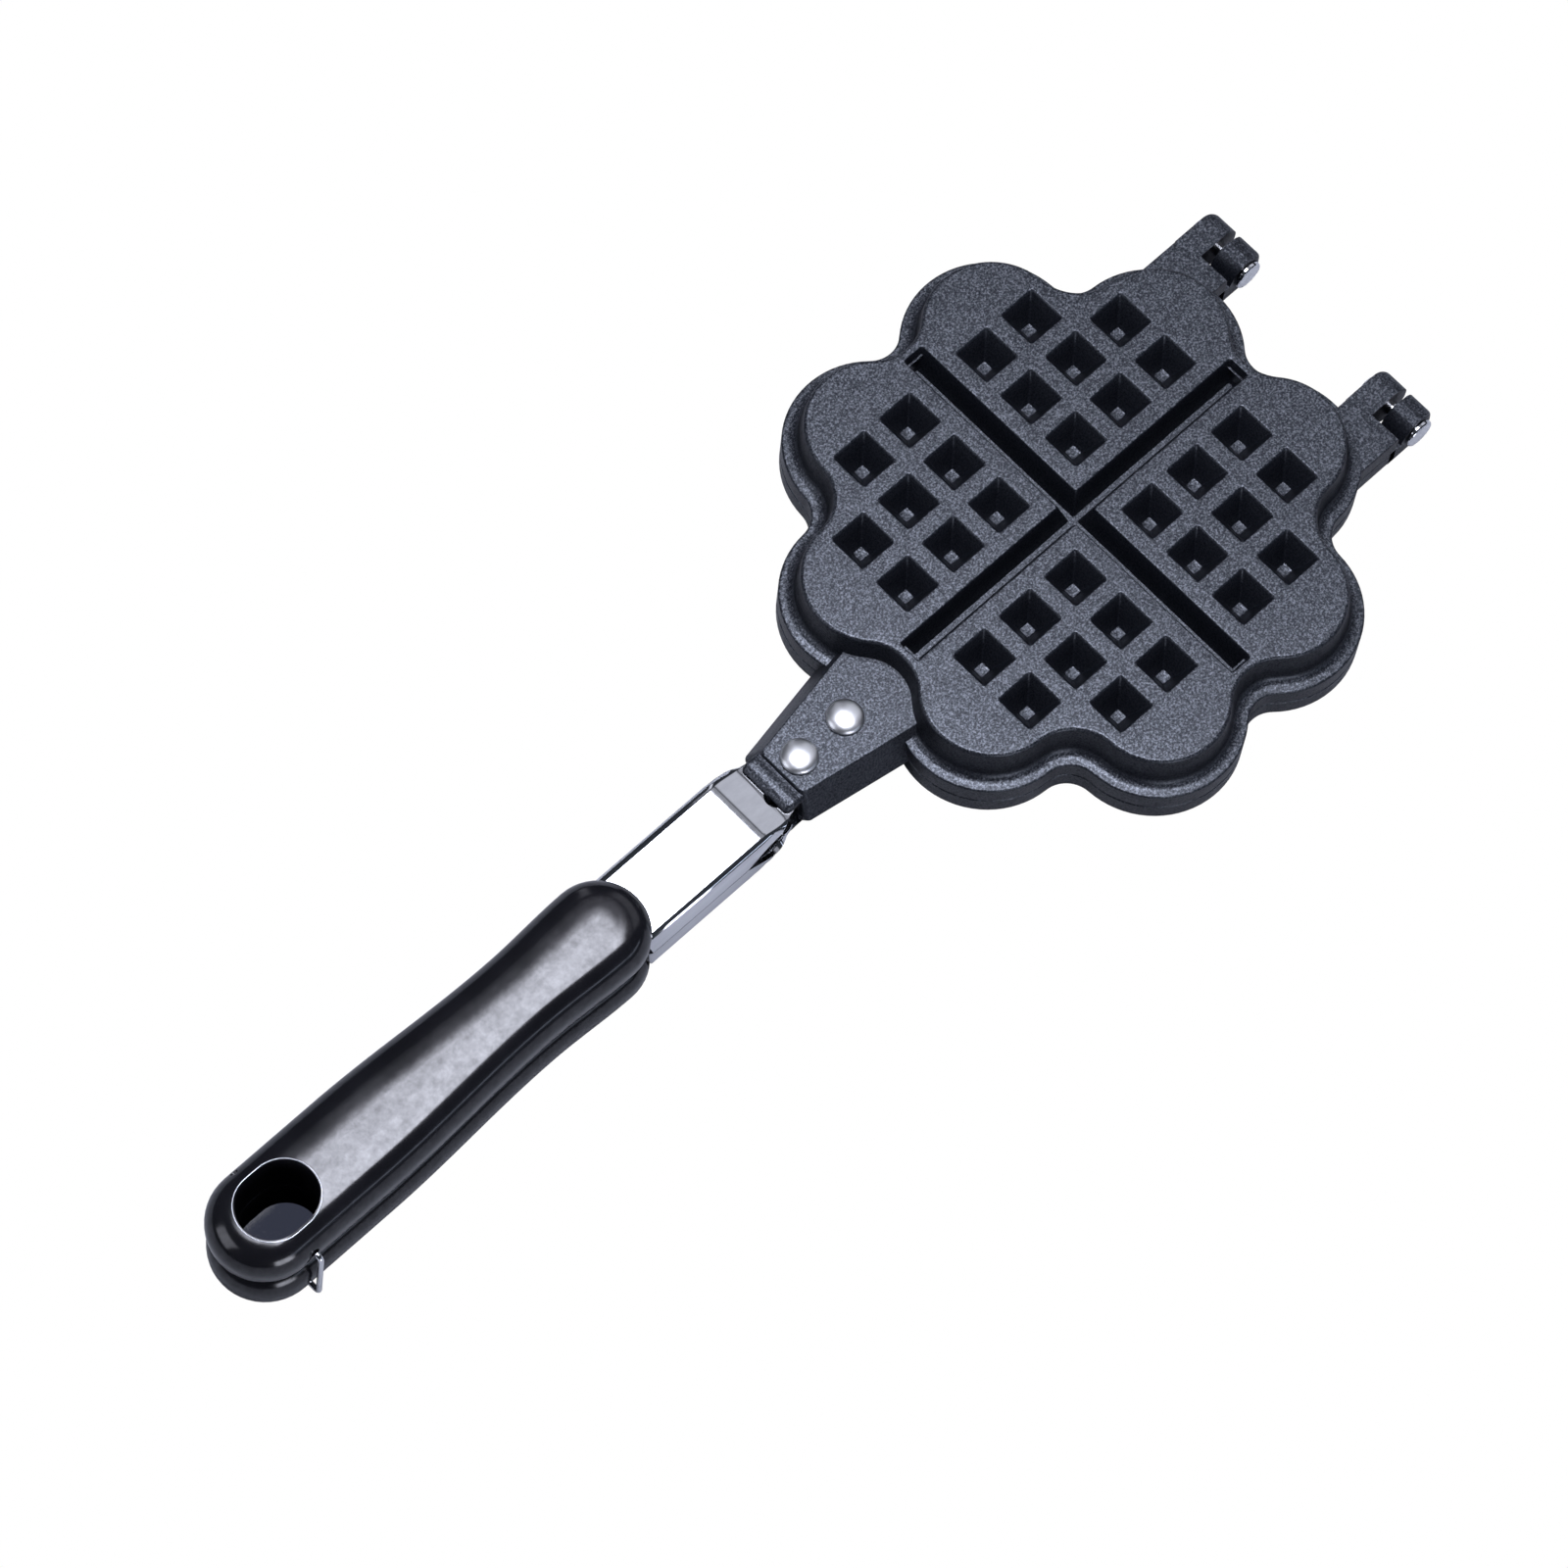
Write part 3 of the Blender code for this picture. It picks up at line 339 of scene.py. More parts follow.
def cross(half_width, half_long, inner, outer):
    """A plus-shaped outline whose inner corners bulge outward and whose ends have round corners."""
    points = []
    for k in range(4):
        turn = Matrix.Rotation(k * math.pi / 2, 2)
        corners = []
        cx, cy = half_long - outer, half_width - outer
        corners += [(cx + outer * math.cos(a), -cy + outer * math.sin(a))
                    for a in arc(-math.pi / 2, 0, corner_steps)]
        corners += [(cx + outer * math.cos(a), cy + outer * math.sin(a))
                    for a in arc(0, math.pi / 2, corner_steps)]
        ix = half_width + inner
        corners += [(ix + inner * math.cos(a), ix + inner * math.sin(a))
                    for a in arc(-math.pi / 2, -math.pi, corner_steps)]
        points += [tuple(turn @ Vector(p)) for p in corners]
    return points


def inside(x, y, row):
    """Whether a point lies within a ring of vertices, seen from above."""
    within = False
    for a, b in zip(row, row[1:] + row[:1]):
        if (a.co.y > y) != (b.co.y > y):
            if x < a.co.x + (b.co.x - a.co.x) * (y - a.co.y) / (b.co.y - a.co.y):
                within = not within
    return within


class Sheet:
    """A mesh made of rings of points that are bridged, filled or closed."""

    def __init__(self):
        self.build = bmesh.new()

    def ring(self, points, z):
        return [self.build.verts.new((x, y, z)) for x, y in points]

    def bridge(self, low, high):
        for i in range(len(low)):
            j = (i + 1) % len(low)
            self.build.faces.new((low[i], low[j], high[j], high[i]))

    def stack(self, rows):
        for low, high in zip(rows, rows[1:]):
            self.bridge(low, high)

    def cap(self, row):
        self.build.faces.new(row)

    def fill(self, outer, holes):
        """Fill a flat face between an outer ring and the rings of its holes."""
        verts = []
        edges = []
        for row in [outer, *holes]:
            base = len(verts)
            verts += row
            edges += [(base + i, base + (i + 1) % len(row)) for i in range(len(row))]
        flat = [Vector((v.co.x, v.co.y)) for v in verts]
        _, _, faces, origins, _, _ = delaunay_2d_cdt(flat, edges, [], 1, 1e-9)
        for face in faces:
            corners = [verts[origins[i][0]] for i in face]
            x = sum(v.co.x for v in corners) / 3
            y = sum(v.co.y for v in corners) / 3
            if not any(inside(x, y, row) for row in holes):
                self.build.faces.new(corners)

    def add(self, rings):
        """A closed solid from rings of points in space."""
        rows = [[self.build.verts.new(p) for p in ring] for ring in rings]
        self.stack(rows)
        self.cap(rows[0][::-1])
        self.cap(rows[-1])


def well_cells():
    for sx in (-1, 1):
        for sy in (-1, 1):
            for i in range(3):
                for j in range(3):
                    if not i == j == 2:
                        yield sx * well_pitch * (0.85 + i), sy * well_pitch * (0.85 + j)


def plate(sheet):
    """Outer face with its wells, side wall, ledge and rim, and the tray with pegs inside."""
    edge = 0.0011
    steps = 5
    outer = []
    for a in arc(0, math.pi / 2, steps):
        outer.append((-edge * (1 - math.sin(a)), plate_top - edge * (1 - math.cos(a))))
    foot = 0.0027
    draft = 0.0009
    for a in arc(math.pi, 3 * math.pi / 2, 6):
        outer.append((draft + foot + foot * math.cos(a), rim_top + foot + foot * math.sin(a)))
    rim_edge = 0.0006
    for a in arc(math.pi / 2, 0, 4):
        x = rim_reach - rim_edge + rim_edge * math.cos(a)
        outer.append((x, rim_top - rim_edge + rim_edge * math.sin(a)))
    broken_edge = 0.0003
    lip = 0.0024
    ledge_under = 0.0036
    ceiling = 0.014
    outer.append((rim_reach, half_gap + broken_edge))
    outer.append((rim_reach - broken_edge, half_gap))
    outer.append((rim_reach - lip + broken_edge, half_gap))
    outer.append((rim_reach - lip, half_gap + broken_edge))
    outer.append((rim_reach - lip - 0.0001, ledge_under - 0.0012))
    outer.append((rim_reach - lip - 0.0008, ledge_under))
    outer.append((-0.0010, ledge_under))
    outer.append((-0.0019, ledge_under + 0.0009))
    outer.append((-0.0024, ceiling - 0.0008))
    outer.append((-0.0032, ceiling))
    rows = [sheet.ring(flower(offset), z) for offset, z in outer]
    sheet.stack(rows)

    holes = []
    soft = 0.00045
    depth = plate_top * 0.5
    well_half = well_top_width / 2
    well_slope = (well_top_width - well_floor_width) / 2 / depth
    for x, y in well_cells():
        profile = [(well_half + soft, plate_top)]
        for a in arc(0.35, 1.1, 2):
            profile.append((well_half + soft * (1 - math.sin(a)), plate_top - soft * (1 - math.cos(a))))
        profile.append((well_half - well_slope * soft * 1.4, plate_top - soft * 1.4))
        profile.append((well_floor_width / 2 + well_slope * 0.0003, plate_top - depth + 0.0003))
        profile.append((0.0013, plate_top - depth))
        rings = [sheet.ring(rounded_square(x, y, half, min(0.0008, half * 0.3)), z) for half, z in profile]
        holes.append(rings[0])
        sheet.stack(rings[::-1])
        sheet.cap(rings[-1])
    long = notch_edge - well_pitch * 0.144
    deep = plate_top * 0.488
    groove_half = groove_top_width / 2
    slope = (groove_top_width - groove_floor_width) / 2 / deep
    rings = []
    for wide, z in ((groove_half + soft, plate_top), (groove_half + soft * 0.4, plate_top - soft * 0.12),
                    (groove_half, plate_top - soft * 0.5),
                    (groove_half - slope * soft * 1.5, plate_top - soft * 1.5),
                    (groove_floor_width / 2 + slope * 0.0003, plate_top - deep + 0.0003),
                    (0.0007, plate_top - deep)):
        end = long + (wide - groove_half) * 0.66
        rings.append(sheet.ring(cross(wide, end, 0.0005, min(0.0007, wide * 0.8)), z))
    holes.append(rings[0])
    sheet.stack(rings[::-1])
    sheet.fill(rings[-1], [])
    sheet.fill(rows[0], holes)

    holes = []
    low = plate_top - depth - shell
    base = 0.0061
    for x, y in well_cells():
        profile = ((0.0022, 0.0008, low), (0.0028, 0.001, low + 0.0006),
                   (base - well_slope * 0.0005, 0.0024, ceiling - 0.0005), (base, 0.0026, ceiling))
        rings = [sheet.ring(rounded_square(x, y, half, corner), z) for half, corner, z in profile]
        holes.append(rings[-1])
        sheet.stack(rings)
        sheet.cap(rings[0][::-1])
    low = plate_top - deep - shell
    ridge_base = 0.0029 + slope * (ceiling - low - 0.0005)
    rings = []
    for wide, z in ((0.0023, low), (0.0029, low + 0.0005), (ridge_base, ceiling)):
        rings.append(sheet.ring(cross(wide, notch_edge - 0.0036, 0.0005, 0.0007), z))
    holes.append(rings[-1])
    sheet.stack(rings)
    sheet.fill(rings[0], [])
    sheet.fill(rows[-1], holes)


# Hinge arms. Cast in one with each plate: a flat arm level with the ledge, cut back beside the
# other half's knuckle, and a knuckle about the pin on its left side.
hinge_reach = 0.086101
arm_centre = 0.0307
arm_half = 0.0085
knuckle = 0.0059
knuckle_corner = 0.0017
swing_gap = 0.0017
half_side_gap = 0.001
rim_tuck = 0.0013


def edge_reach(y, offset):
    """How far out along the handle's line the plate's outline stands at a distance aside."""
    side = abs(y)
    lobe_x = lobe_centre * math.cos(half_pitch)
    lobe_y = lobe_centre * math.sin(half_pitch)
    joint = lobe_y * (notch_radius - offset) / (notch_radius + lobe_radius)
    if side < joint:
        return notch_centre - math.sqrt((notch_radius - offset) ** 2 - side ** 2)
    return lobe_x + math.sqrt((lobe_radius + offset) ** 2 - (side - lobe_y) ** 2)


def arms(sheet):
    hair = 0.00001
    top = rim_top - 3 * hair
    soft = 0.0005
    inside_rim = rim_reach - rim_tuck
    end = hinge_reach - knuckle - swing_gap
    for side in (-1, 1):
        y = side * arm_centre
        rings = []
        for inset, z in ((0, half_gap), (0, top - soft), (soft * 0.3, top - soft * 0.3), (soft, top)):
            half_wide = arm_half - inset
            ring = [(end - inset, y - half_wide, z), (end - inset, y + half_wide, z)]
            for across in arc(y + half_wide, y - half_wide, 8):
                ring.append((edge_reach(across, inside_rim), across, z))
            rings.append(ring)
        sheet.add(rings)
        back = knuckle + swing_gap + 0.002
        outline = [(-back, half_gap), (-back, top - hair)]
        bend = knuckle * 0.94
        for a in arc(math.pi / 2, 0, 12):
            outline.append((knuckle - bend + bend * math.cos(a), top - bend + bend * math.sin(a)))
        for u, v in ((0.97, -0.30), (0.80, -0.60), (0.54, -0.81), (0.28, -0.83), (0.14, -0.94),
                     (-0.36, -0.94), (-0.80, -0.56)):
            outline.append((knuckle * u, knuckle * v))
        outline.append((-knuckle, half_gap))
        rings = [[(hinge_reach + u, y + half_side_gap, v) for u, v in outline]]
        for a in arc(math.pi / 2, 0, 6):
            hold = 1 - knuckle_corner * (1 - math.sin(a)) / knuckle
            level = y + arm_half - knuckle_corner * (1 - math.cos(a))
            rings.append([(hinge_reach + (u * hold if u > 0 else u), level, v) for u, v in outline])
        sheet.add(rings)


# Handle boss. Cast in one with each plate: a low wedge under two rivets, pocketed underneath
# for the tang, and closed over the tang by a smooth rounded bar.
boss_top = 0.009
boss_reach = 0.101823
boss_root = 0.0697
boss_end_half = 0.0079
boss_flare = 0.0053
boss_corner = 0.0018
boss_foot = 0.0041
pocket_skin = 0.0026
pocket_roof = boss_top - pocket_skin
rivet_back = 0.0061
rivet_pitch = 0.0157
tang_margin = 0.0055
tang_start = boss_reach - rivet_back - rivet_pitch - tang_margin


def boss_side(reach):
    """Half the boss's width at a distance out, wider toward the plate."""
    return boss_end_half + boss_flare / (boss_reach - boss_root) * (boss_reach - reach)


def boss_outline(z, offset, end, grow):
    """Outline at one height, rooted along the plate's rim, with round corners at its end."""
    root = 0.07
    for _ in range(5):
        wide_root = boss_side(root) + grow
        root = edge_reach(wide_root, offset)
    wide = boss_side(end) + grow
    points = [(-root, wide_root, z)]
    for side in (1, -1):
        cx, cy = -(end - boss_corner), side * (wide - boss_corner)
        angles = arc(math.pi / 2, math.pi, 6)
        if side < 0:
            angles = [-a for a in angles[::-1]]
        points += [(cx + boss_corner * math.cos(a), cy + boss_corner * math.sin(a), z) for a in angles]
    for across in arc(-wide_root, wide_root, 14)[:-1]:
        points.append((-edge_reach(across, offset), across, z))
    return points


def boss(sheet):
    soft = 0.0005
    wall_tuck = 0.001
    boss_draft = 0.0016
    low_end = boss_reach + boss_draft
    rings = [boss_outline(half_gap, rim_reach - rim_tuck, low_end, boss_foot)]
    for share, offset in ((0.55, 0.0032), (0.70, -wall_tuck)):
        end = low_end + (boss_reach - low_end) * share
        z = half_gap + (boss_top - half_gap) * share
        rings.append(boss_outline(z, offset, end, boss_foot * (1 - share)))
    for a in arc(math.pi / 2, 0, 4):
        inward, down = 1 - math.sin(a), 1 - math.cos(a)
        z = boss_top - soft * down
        rings.append(boss_outline(z, -wall_tuck, boss_reach - soft * inward, -soft * inward))
    wedge = Sheet()
    wedge.add(rings)
    body = finish_mesh(wedge.build, "boss_wedge", "upper", sharp=40, weighted=False)
    root = tang_start - 0.0064
    end = boss_reach + 0.007
    side_wall = 0.00055
    root_wide = boss_side(root) - side_wall
    end_wide = 0.0078
    half_ring = [(-root, root_wide), (-tang_start, root_wide), (-boss_reach, end_wide), (-end, end_wide)]
    ring = half_ring + [(x, -y) for x, y in half_ring[::-1]]
    overrun = 0.001
    pocket = Sheet()
    pocket.add([[(x, y, z) for x, y in ring] for z in (-overrun, pocket_roof)])
    carve(body, [finish_mesh(pocket.build, "boss_pocket", "upper", sharp=40, weighted=False)])
    body.data.transform(Matrix.Translation((-centre_x, 0, -parting)))
    sheet.build.from_mesh(body.data)
    old = body.data
    bpy.data.objects.remove(body, do_unlink=True)
    bpy.data.meshes.remove(old)

    low = pocket_roof
    high = boss_top - 0.0007
    half_long = 0.003
    middle = boss_reach + half_long
    heel = middle - half_long - 0.002
    bar_half = 0.0084
    rings = []
    ends = ((1.0, 0.35), (0.985, 0.62), (0.95, 0.82), (0.90, 0.94), (0.83, 1.0))
    for wide, size in [(-w, s) for w, s in ends] + [(w, s) for w, s in ends[::-1]]:
        y = bar_half * wide
        rise = (high - low) * size
        ring = [(-heel, y, low), (-heel, y, low + rise * 0.7)]
        for a in arc(math.pi * 0.75, 0, 12):
            x = middle + half_long * math.cos(a) * size
            ring.append((-x, y, low + rise * math.sin(a)))
        rings.append(ring)
    sheet.add(rings)


def carve(made, cutters):
    """Cut closed shapes out of an object, one after the other."""
    for cutter in cutters:
        cut = made.modifiers.new("cut", "BOOLEAN")
        cut.operation = "DIFFERENCE"
        cut.solver = "EXACT"
        cut.object = cutter
    view = bpy.context.evaluated_depsgraph_get()
    solid = bpy.data.meshes.new_from_object(made.evaluated_get(view))
    made.modifiers.clear()
    old = made.data
    made.data = solid
    bpy.data.meshes.remove(old)
    solid.name = made.name
    solid.materials.clear()
    for cutter in cutters:
        bpy.data.objects.remove(cutter, do_unlink=True)


def turned_over(point, half):
    """From the plate's own place, above the parting plane, to the upper or lower half's."""
    x, y, z = point
    if half == "upper":
        return x + centre_x, y, parting + z
    return x + centre_x, -y, parting - z


def finish_mesh(build, name, half, sharp=38, weighted=True):
    """Make an object of a bmesh drawn in the plate's own place, and set its smooth shading."""
    for vert in build.verts:
        vert.co = turned_over(vert.co, half)
    bmesh.ops.recalc_face_normals(build, faces=build.faces)
    mesh = bpy.data.meshes.new(name)
    build.to_mesh(mesh)
    mesh.shade_smooth()
    mesh.set_sharp_from_angle(angle=math.radians(sharp))
    made = bpy.data.objects.new(name, mesh)
    bpy.context.scene.collection.objects.link(made)
    if weighted:
        even = made.modifiers.new("even_shading", "WEIGHTED_NORMAL")
        even.keep_sharp = True
    return made


# Castings. Plate, arms and boss of each half are one pour of aluminium, trimmed and coated all
# over. The lower half is the same casting turned over, and meets the upper at the parting plane.
for half in ("upper", "lower"):
    sheet = Sheet()
    plate(sheet)
    arms(sheet)
    boss(sheet)
    pan = finish_mesh(sheet.build, half + "_casting", half)
    pan.data.materials.append(coating)
    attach(pan, half + "_half")
    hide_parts(half + "_pan")


# Tangs. Stainless strip, pressed to a channel whose flanges close on each other, and polished.
# The flat neck is riveted in the boss's pocket, and the tongue behind it runs into the grip.
def polished_material(name, colour, roughness, streak):
    made = bpy.data.materials.new(name)
    tree, shader = nodes_of(made)
    shader.inputs["Metallic"].default_value = 1.0
    place = tree.nodes.new("ShaderNodeTexCoord").outputs["Object"]
    stretch = tree.nodes.new("ShaderNodeMapping")
    stretch.inputs["Scale"].default_value = streak
    tree.links.new(place, stretch.inputs["Vector"])
    lines = tree.nodes.new("ShaderNodeTexNoise")
    lines.inputs["Scale"].default_value = 400
    lines.inputs["Detail"].default_value = 5
    tree.links.new(stretch.outputs["Vector"], lines.inputs["Vector"])
    shade = tree.nodes.new("ShaderNodeValToRGB")
    shade.color_ramp.elements[0].position = 0.3
    shade.color_ramp.elements[0].color = (*[c * 0.88 for c in colour], 1)
    shade.color_ramp.elements[1].position = 0.7
    shade.color_ramp.elements[1].color = (*colour, 1)
    tree.links.new(lines.outputs["Fac"], shade.inputs["Fac"])
    tree.links.new(shade.outputs["Color"], shader.inputs["Base Color"])
    rough = tree.nodes.new("ShaderNodeMapRange")
    rough.inputs["To Min"].default_value = roughness * 0.8
    rough.inputs["To Max"].default_value = roughness * 1.25
    tree.links.new(lines.outputs["Fac"], rough.inputs["Value"])
    tree.links.new(rough.outputs["Result"], shader.inputs["Roughness"])
    return made


steel = polished_material("polished_steel", (0.80, 0.81, 0.83), 0.10, (0.08, 1.0, 1.0))
neck_end = 0.102523
neck_long = 0.0274
flare_long = 0.005
flare = neck_end + flare_long
strip_half = 0.0109
channel_top = 0.0087
tang_room = 0.0003
grip_start = 0.150623
seat_depth = 0.0064
tongue_long = 0.047
tongue_half = 0.006


def tang(half):
    neck_top = pocket_roof - tang_room
    top = channel_top
    bend = 0.0025
    thick = 0.0012
    full = bend * math.pi / 2 + top - bend - half_gap

    def section(x, flat, height, run):
        outer = []
        inner = []
        for share in (0, 0.06, 0.12, 0.18, 0.24, 0.30, 0.36, 0.42, 0.7, 0.96, 1.0):
            along = run * share
            angle = min(along / bend, math.pi / 2)
            straight = max(0.0, along - bend * math.pi / 2)
            for side, radius in ((outer, bend), (inner, bend - thick)):
                z = height - bend + radius * math.cos(angle) - straight
                side.append((flat + radius * math.sin(angle), z))
        ring = [(-y, z) for y, z in outer[::-1]] + outer
        ring += inner[::-1] + [(-y, z) for y, z in inner]
        return [(-x, y, z) for y, z in ring]

    stub = 0.0003
    wide = strip_half - bend
    neck = 0.0072
    channel_end = grip_start + seat_depth - 0.0006
    tongue_end = grip_start + seat_depth + tongue_long
    rings = [section(neck_end - neck_long, neck, neck_top, stub), section(neck_end, neck, neck_top, stub)]
    for share in arc(0, 1, 3)[1:]:
        smooth = share * share * (3 - 2 * share)
        across = neck + (wide - neck) * smooth
        rings.append(section(neck_end + flare_long * share, across, neck_top, stub * (1 + share)))
    fold_long = 0.0155
    lift_long = 0.010
    for share in arc(0, 1, 18)[1:]:
        x = flare + fold_long * share
        rise = min(1.0, (x - flare) / lift_long)
        rise = rise * rise * (3 - 2 * rise)
        height = neck_top + (top - neck_top) * rise
        longest = bend * math.pi / 2 + height - bend - half_gap
        rings.append(section(x, wide, height, min(stub * 2 + (full - stub * 2) * share, longest)))
    rings.append(section(channel_end - thick, wide, top, full))
    flat = tongue_half - stub
    rings.append(section(channel_end, flat, top, stub))
    for along, size in ((0.55, 1.0), (0.88, 0.84), (1.0, 0.5)):
        rings.append(section(tongue_end - 0.006 * (1 - along), flat * size, top, stub))
    sheet = Sheet()
    sheet.add(rings)
    made = finish_mesh(sheet.build, half + "_tang_strip", half, sharp=40)
    drill = Sheet()
    spin = arc(0, 2 * math.pi, 32)[:-1]
    rivet_bore = 0.0027
    vent = (boss_reach + 0.0044, -0.0028, 0.0031)
    screw_hole = (0.192023, 0, 0.002)
    holes = [(reach, 0, rivet_bore) for reach in (0.0800, 0.0957)] + [vent, screw_hole]
    for reach, y, radius in holes:
        low = [(-reach + radius * math.cos(a), y + radius * math.sin(a), 0.001) for a in spin]
        high = [(x, v, 0.012) for x, v, _ in low]
        drill.add([low, high])
    carve(made, [finish_mesh(drill.build, half + "_drill", half, sharp=40, weighted=False)])
    made.data.materials.append(steel)
    made.data.shade_smooth()
    made.data.set_sharp_from_angle(angle=math.radians(40))
    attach(made, half + "_half")
    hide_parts(half + "_tang")


for half in ("upper", "lower"):
    tang(half)


# Rivets. Solid aluminium with domed heads and a tumbled satin skin. Each is driven through the
# boss and the tang's neck, and headed over in the pocket underneath.
rivet_skin = polished_material("rivet_aluminium", (0.80, 0.81, 0.82), 0.36, (1.0, 1.0, 1.0))


def lathe(profile, segments=48):
    """Rings about Z from (radius, height) points."""
    spin = arc(0, 2 * math.pi, segments)[:-1]
    return [[(r * math.cos(a), r * math.sin(a), z) for a in spin] for r, z in profile]


for half in ("upper", "lower"):
    for label, behind in (("plate_side", rivet_pitch), ("tang_side", 0)):
        reach = boss_reach - rivet_back - behind
        seat = 0.0003
        radius = 0.0049
        profile = [(0.0027, -0.0058), (0.0035, -0.0056), (0.0038, -0.0051), (0.0038, -0.0044),
                   (0.0024, -0.0044), (0.0024, seat), (radius - 0.0002, seat), (radius, seat + 0.0002)]
        base = seat + 0.0003
        for a in arc(0, math.radians(84), 12):
            profile.append((radius * math.cos(a), base + 0.002 * math.sin(a)))
        sheet = Sheet()
        sheet.add([[(x - reach, y, z + boss_top) for x, y, z in ring] for ring in lathe(profile)])
        rivet = finish_mesh(sheet.build, half + "_rivet_" + label + "_head", half, sharp=50)
        rivet.data.materials.append(rivet_skin)
        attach(rivet, half + "_half")
        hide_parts(half + "_rivet_" + label)


# Grips. Two equal half grips of black phenolic, moulded glossy, waisted behind a round nose,
# with a drafted hanging hole through both, and a thin pale polished ring round the hole's rim
# that is a painted highlight on its edge.
def grip_material(name):
    made = bpy.data.materials.new(name)
    tree, shader = nodes_of(made)
    place = tree.nodes.new("ShaderNodeTexCoord").outputs["Object"]
    wave = tree.nodes.new("ShaderNodeTexNoise")
    wave.inputs["Scale"].default_value = 90
    wave.inputs["Detail"].default_value = 3
    tree.links.new(place, wave.inputs["Vector"])
    shade = tree.nodes.new("ShaderNodeValToRGB")
    shade.color_ramp.elements[0].color = (0.004, 0.004, 0.005, 1)
    shade.color_ramp.elements[1].color = (0.010, 0.010, 0.013, 1)
    tree.links.new(wave.outputs["Fac"], shade.inputs["Fac"])
    tree.links.new(shade.outputs["Color"], shader.inputs["Base Color"])
    rough = tree.nodes.new("ShaderNodeMapRange")
    rough.inputs["To Min"].default_value = 0.13
    rough.inputs["To Max"].default_value = 0.21
    tree.links.new(wave.outputs["Fac"], rough.inputs["Value"])
    tree.links.new(rough.outputs["Result"], shader.inputs["Roughness"])
    ripple = tree.nodes.new("ShaderNodeBump")
    ripple.inputs["Strength"].default_value = 0.12
    ripple.inputs["Distance"].default_value = 0.0003
    tree.links.new(wave.outputs["Fac"], ripple.inputs["Height"])
    tree.links.new(ripple.outputs["Normal"], shader.inputs["Normal"])
    rubbed = tree.nodes.new("ShaderNodeTexNoise")
    rubbed.inputs["Scale"].default_value = 420
    rubbed.inputs["Detail"].default_value = 6
    rubbed.inputs["Roughness"].default_value = 0.72
    tree.links.new(place, rubbed.inputs["Vector"])
    shine = tree.nodes.new("ShaderNodeMapRange")
    shine.inputs["From Min"].default_value = 0.30
    shine.inputs["From Max"].default_value = 0.70
    shine.inputs["To Min"].default_value = 0.40
    shine.inputs["To Max"].default_value = 0.74
    tree.links.new(rubbed.outputs["Fac"], shine.inputs["Value"])
    tree.links.new(shine.outputs["Result"], shader.inputs["Specular IOR Level"])
    return made


phenolic = grip_material("black_phenolic")
# Painted highlight: a pale polished skin for the ring laid round each hanging hole's rim.
rim_highlight = polished_material("painted_rim_highlight", (0.55, 0.56, 0.60), 0.3, (1.0, 1.0, 1.0))
tail_reach = 0.287523
nose_half = 0.0133
waist_half = 0.0123
tail_half = 0.0143
grip_top = 0.0156
hole_setback = 0.0044
hole_reach = tail_reach - tail_half - hole_setback
hole_half_long = 0.0019
foot_reach = 0.271023
foot_height = grip_top * 0.782
tip_reach = 0.269623
tip_height = grip_top * 0.564


def grip_outline(inset, z):
    """The grip seen from above: round nose, waist and round tail, drawn in by an inset."""
    nose_x = -(grip_start + nose_half)
    tail_x = -(tail_reach - tail_half)
    span = nose_x - tail_x
    side = []
    for share in arc(0, 1, 40)[1:-1]:
        if share < 0.24:
            blend = 0.5 - 0.5 * math.cos(math.pi * share / 0.24)
            wide = nose_half + (waist_half - nose_half) * blend
        else:
            blend = 0.5 - 0.5 * math.cos(math.pi * min(1.0, (share - 0.24) / 0.5))
            wide = waist_half + (tail_half - waist_half) * blend
        side.append((nose_x - span * share, wide - inset))
    points = []
    for a in arc(-math.pi / 2, math.pi / 2, 24):
        points.append((nose_x + (nose_half - inset) * math.cos(a), (nose_half - inset) * math.sin(a)))
    points += side
    for a in arc(math.pi / 2, 3 * math.pi / 2, 24):
        points.append((tail_x + (tail_half - inset) * math.cos(a), (tail_half - inset) * math.sin(a)))
    points += [(x, -y) for x, y in side[::-1]]
    return [(x, y, z) for x, y in points]


def obround(radius, z):
    """The hanging hole's outline, a little longer than round."""
    hole_x = -hole_reach
    points = []
    for a in arc(-math.pi / 2, math.pi / 2, 20):
        points.append((hole_x + hole_half_long + radius * math.cos(a), radius * math.sin(a), z))
    for a in arc(math.pi / 2, 3 * math.pi / 2, 20):
        points.append((hole_x - hole_half_long + radius * math.cos(a), radius * math.sin(a), z))
    return points


def wire(name, path, radius, rounds, closed):
    """A round wire along a path, joined to a ring or with flat ends."""
    curve = bpy.data.curves.new(name, "CURVE")
    curve.dimensions = "3D"
    curve.bevel_depth = radius
    curve.bevel_resolution = rounds
    curve.use_fill_caps = not closed
    spline = curve.splines.new("POLY")
    spline.points.add(len(path) - 1)
    for point, co in zip(spline.points, path):
        point.co = (*co, 1)
    spline.use_cyclic_u = closed
    spline.use_smooth = True
    made = bpy.data.objects.new(name, curve)
    bpy.context.scene.collection.objects.link(made)
    return made


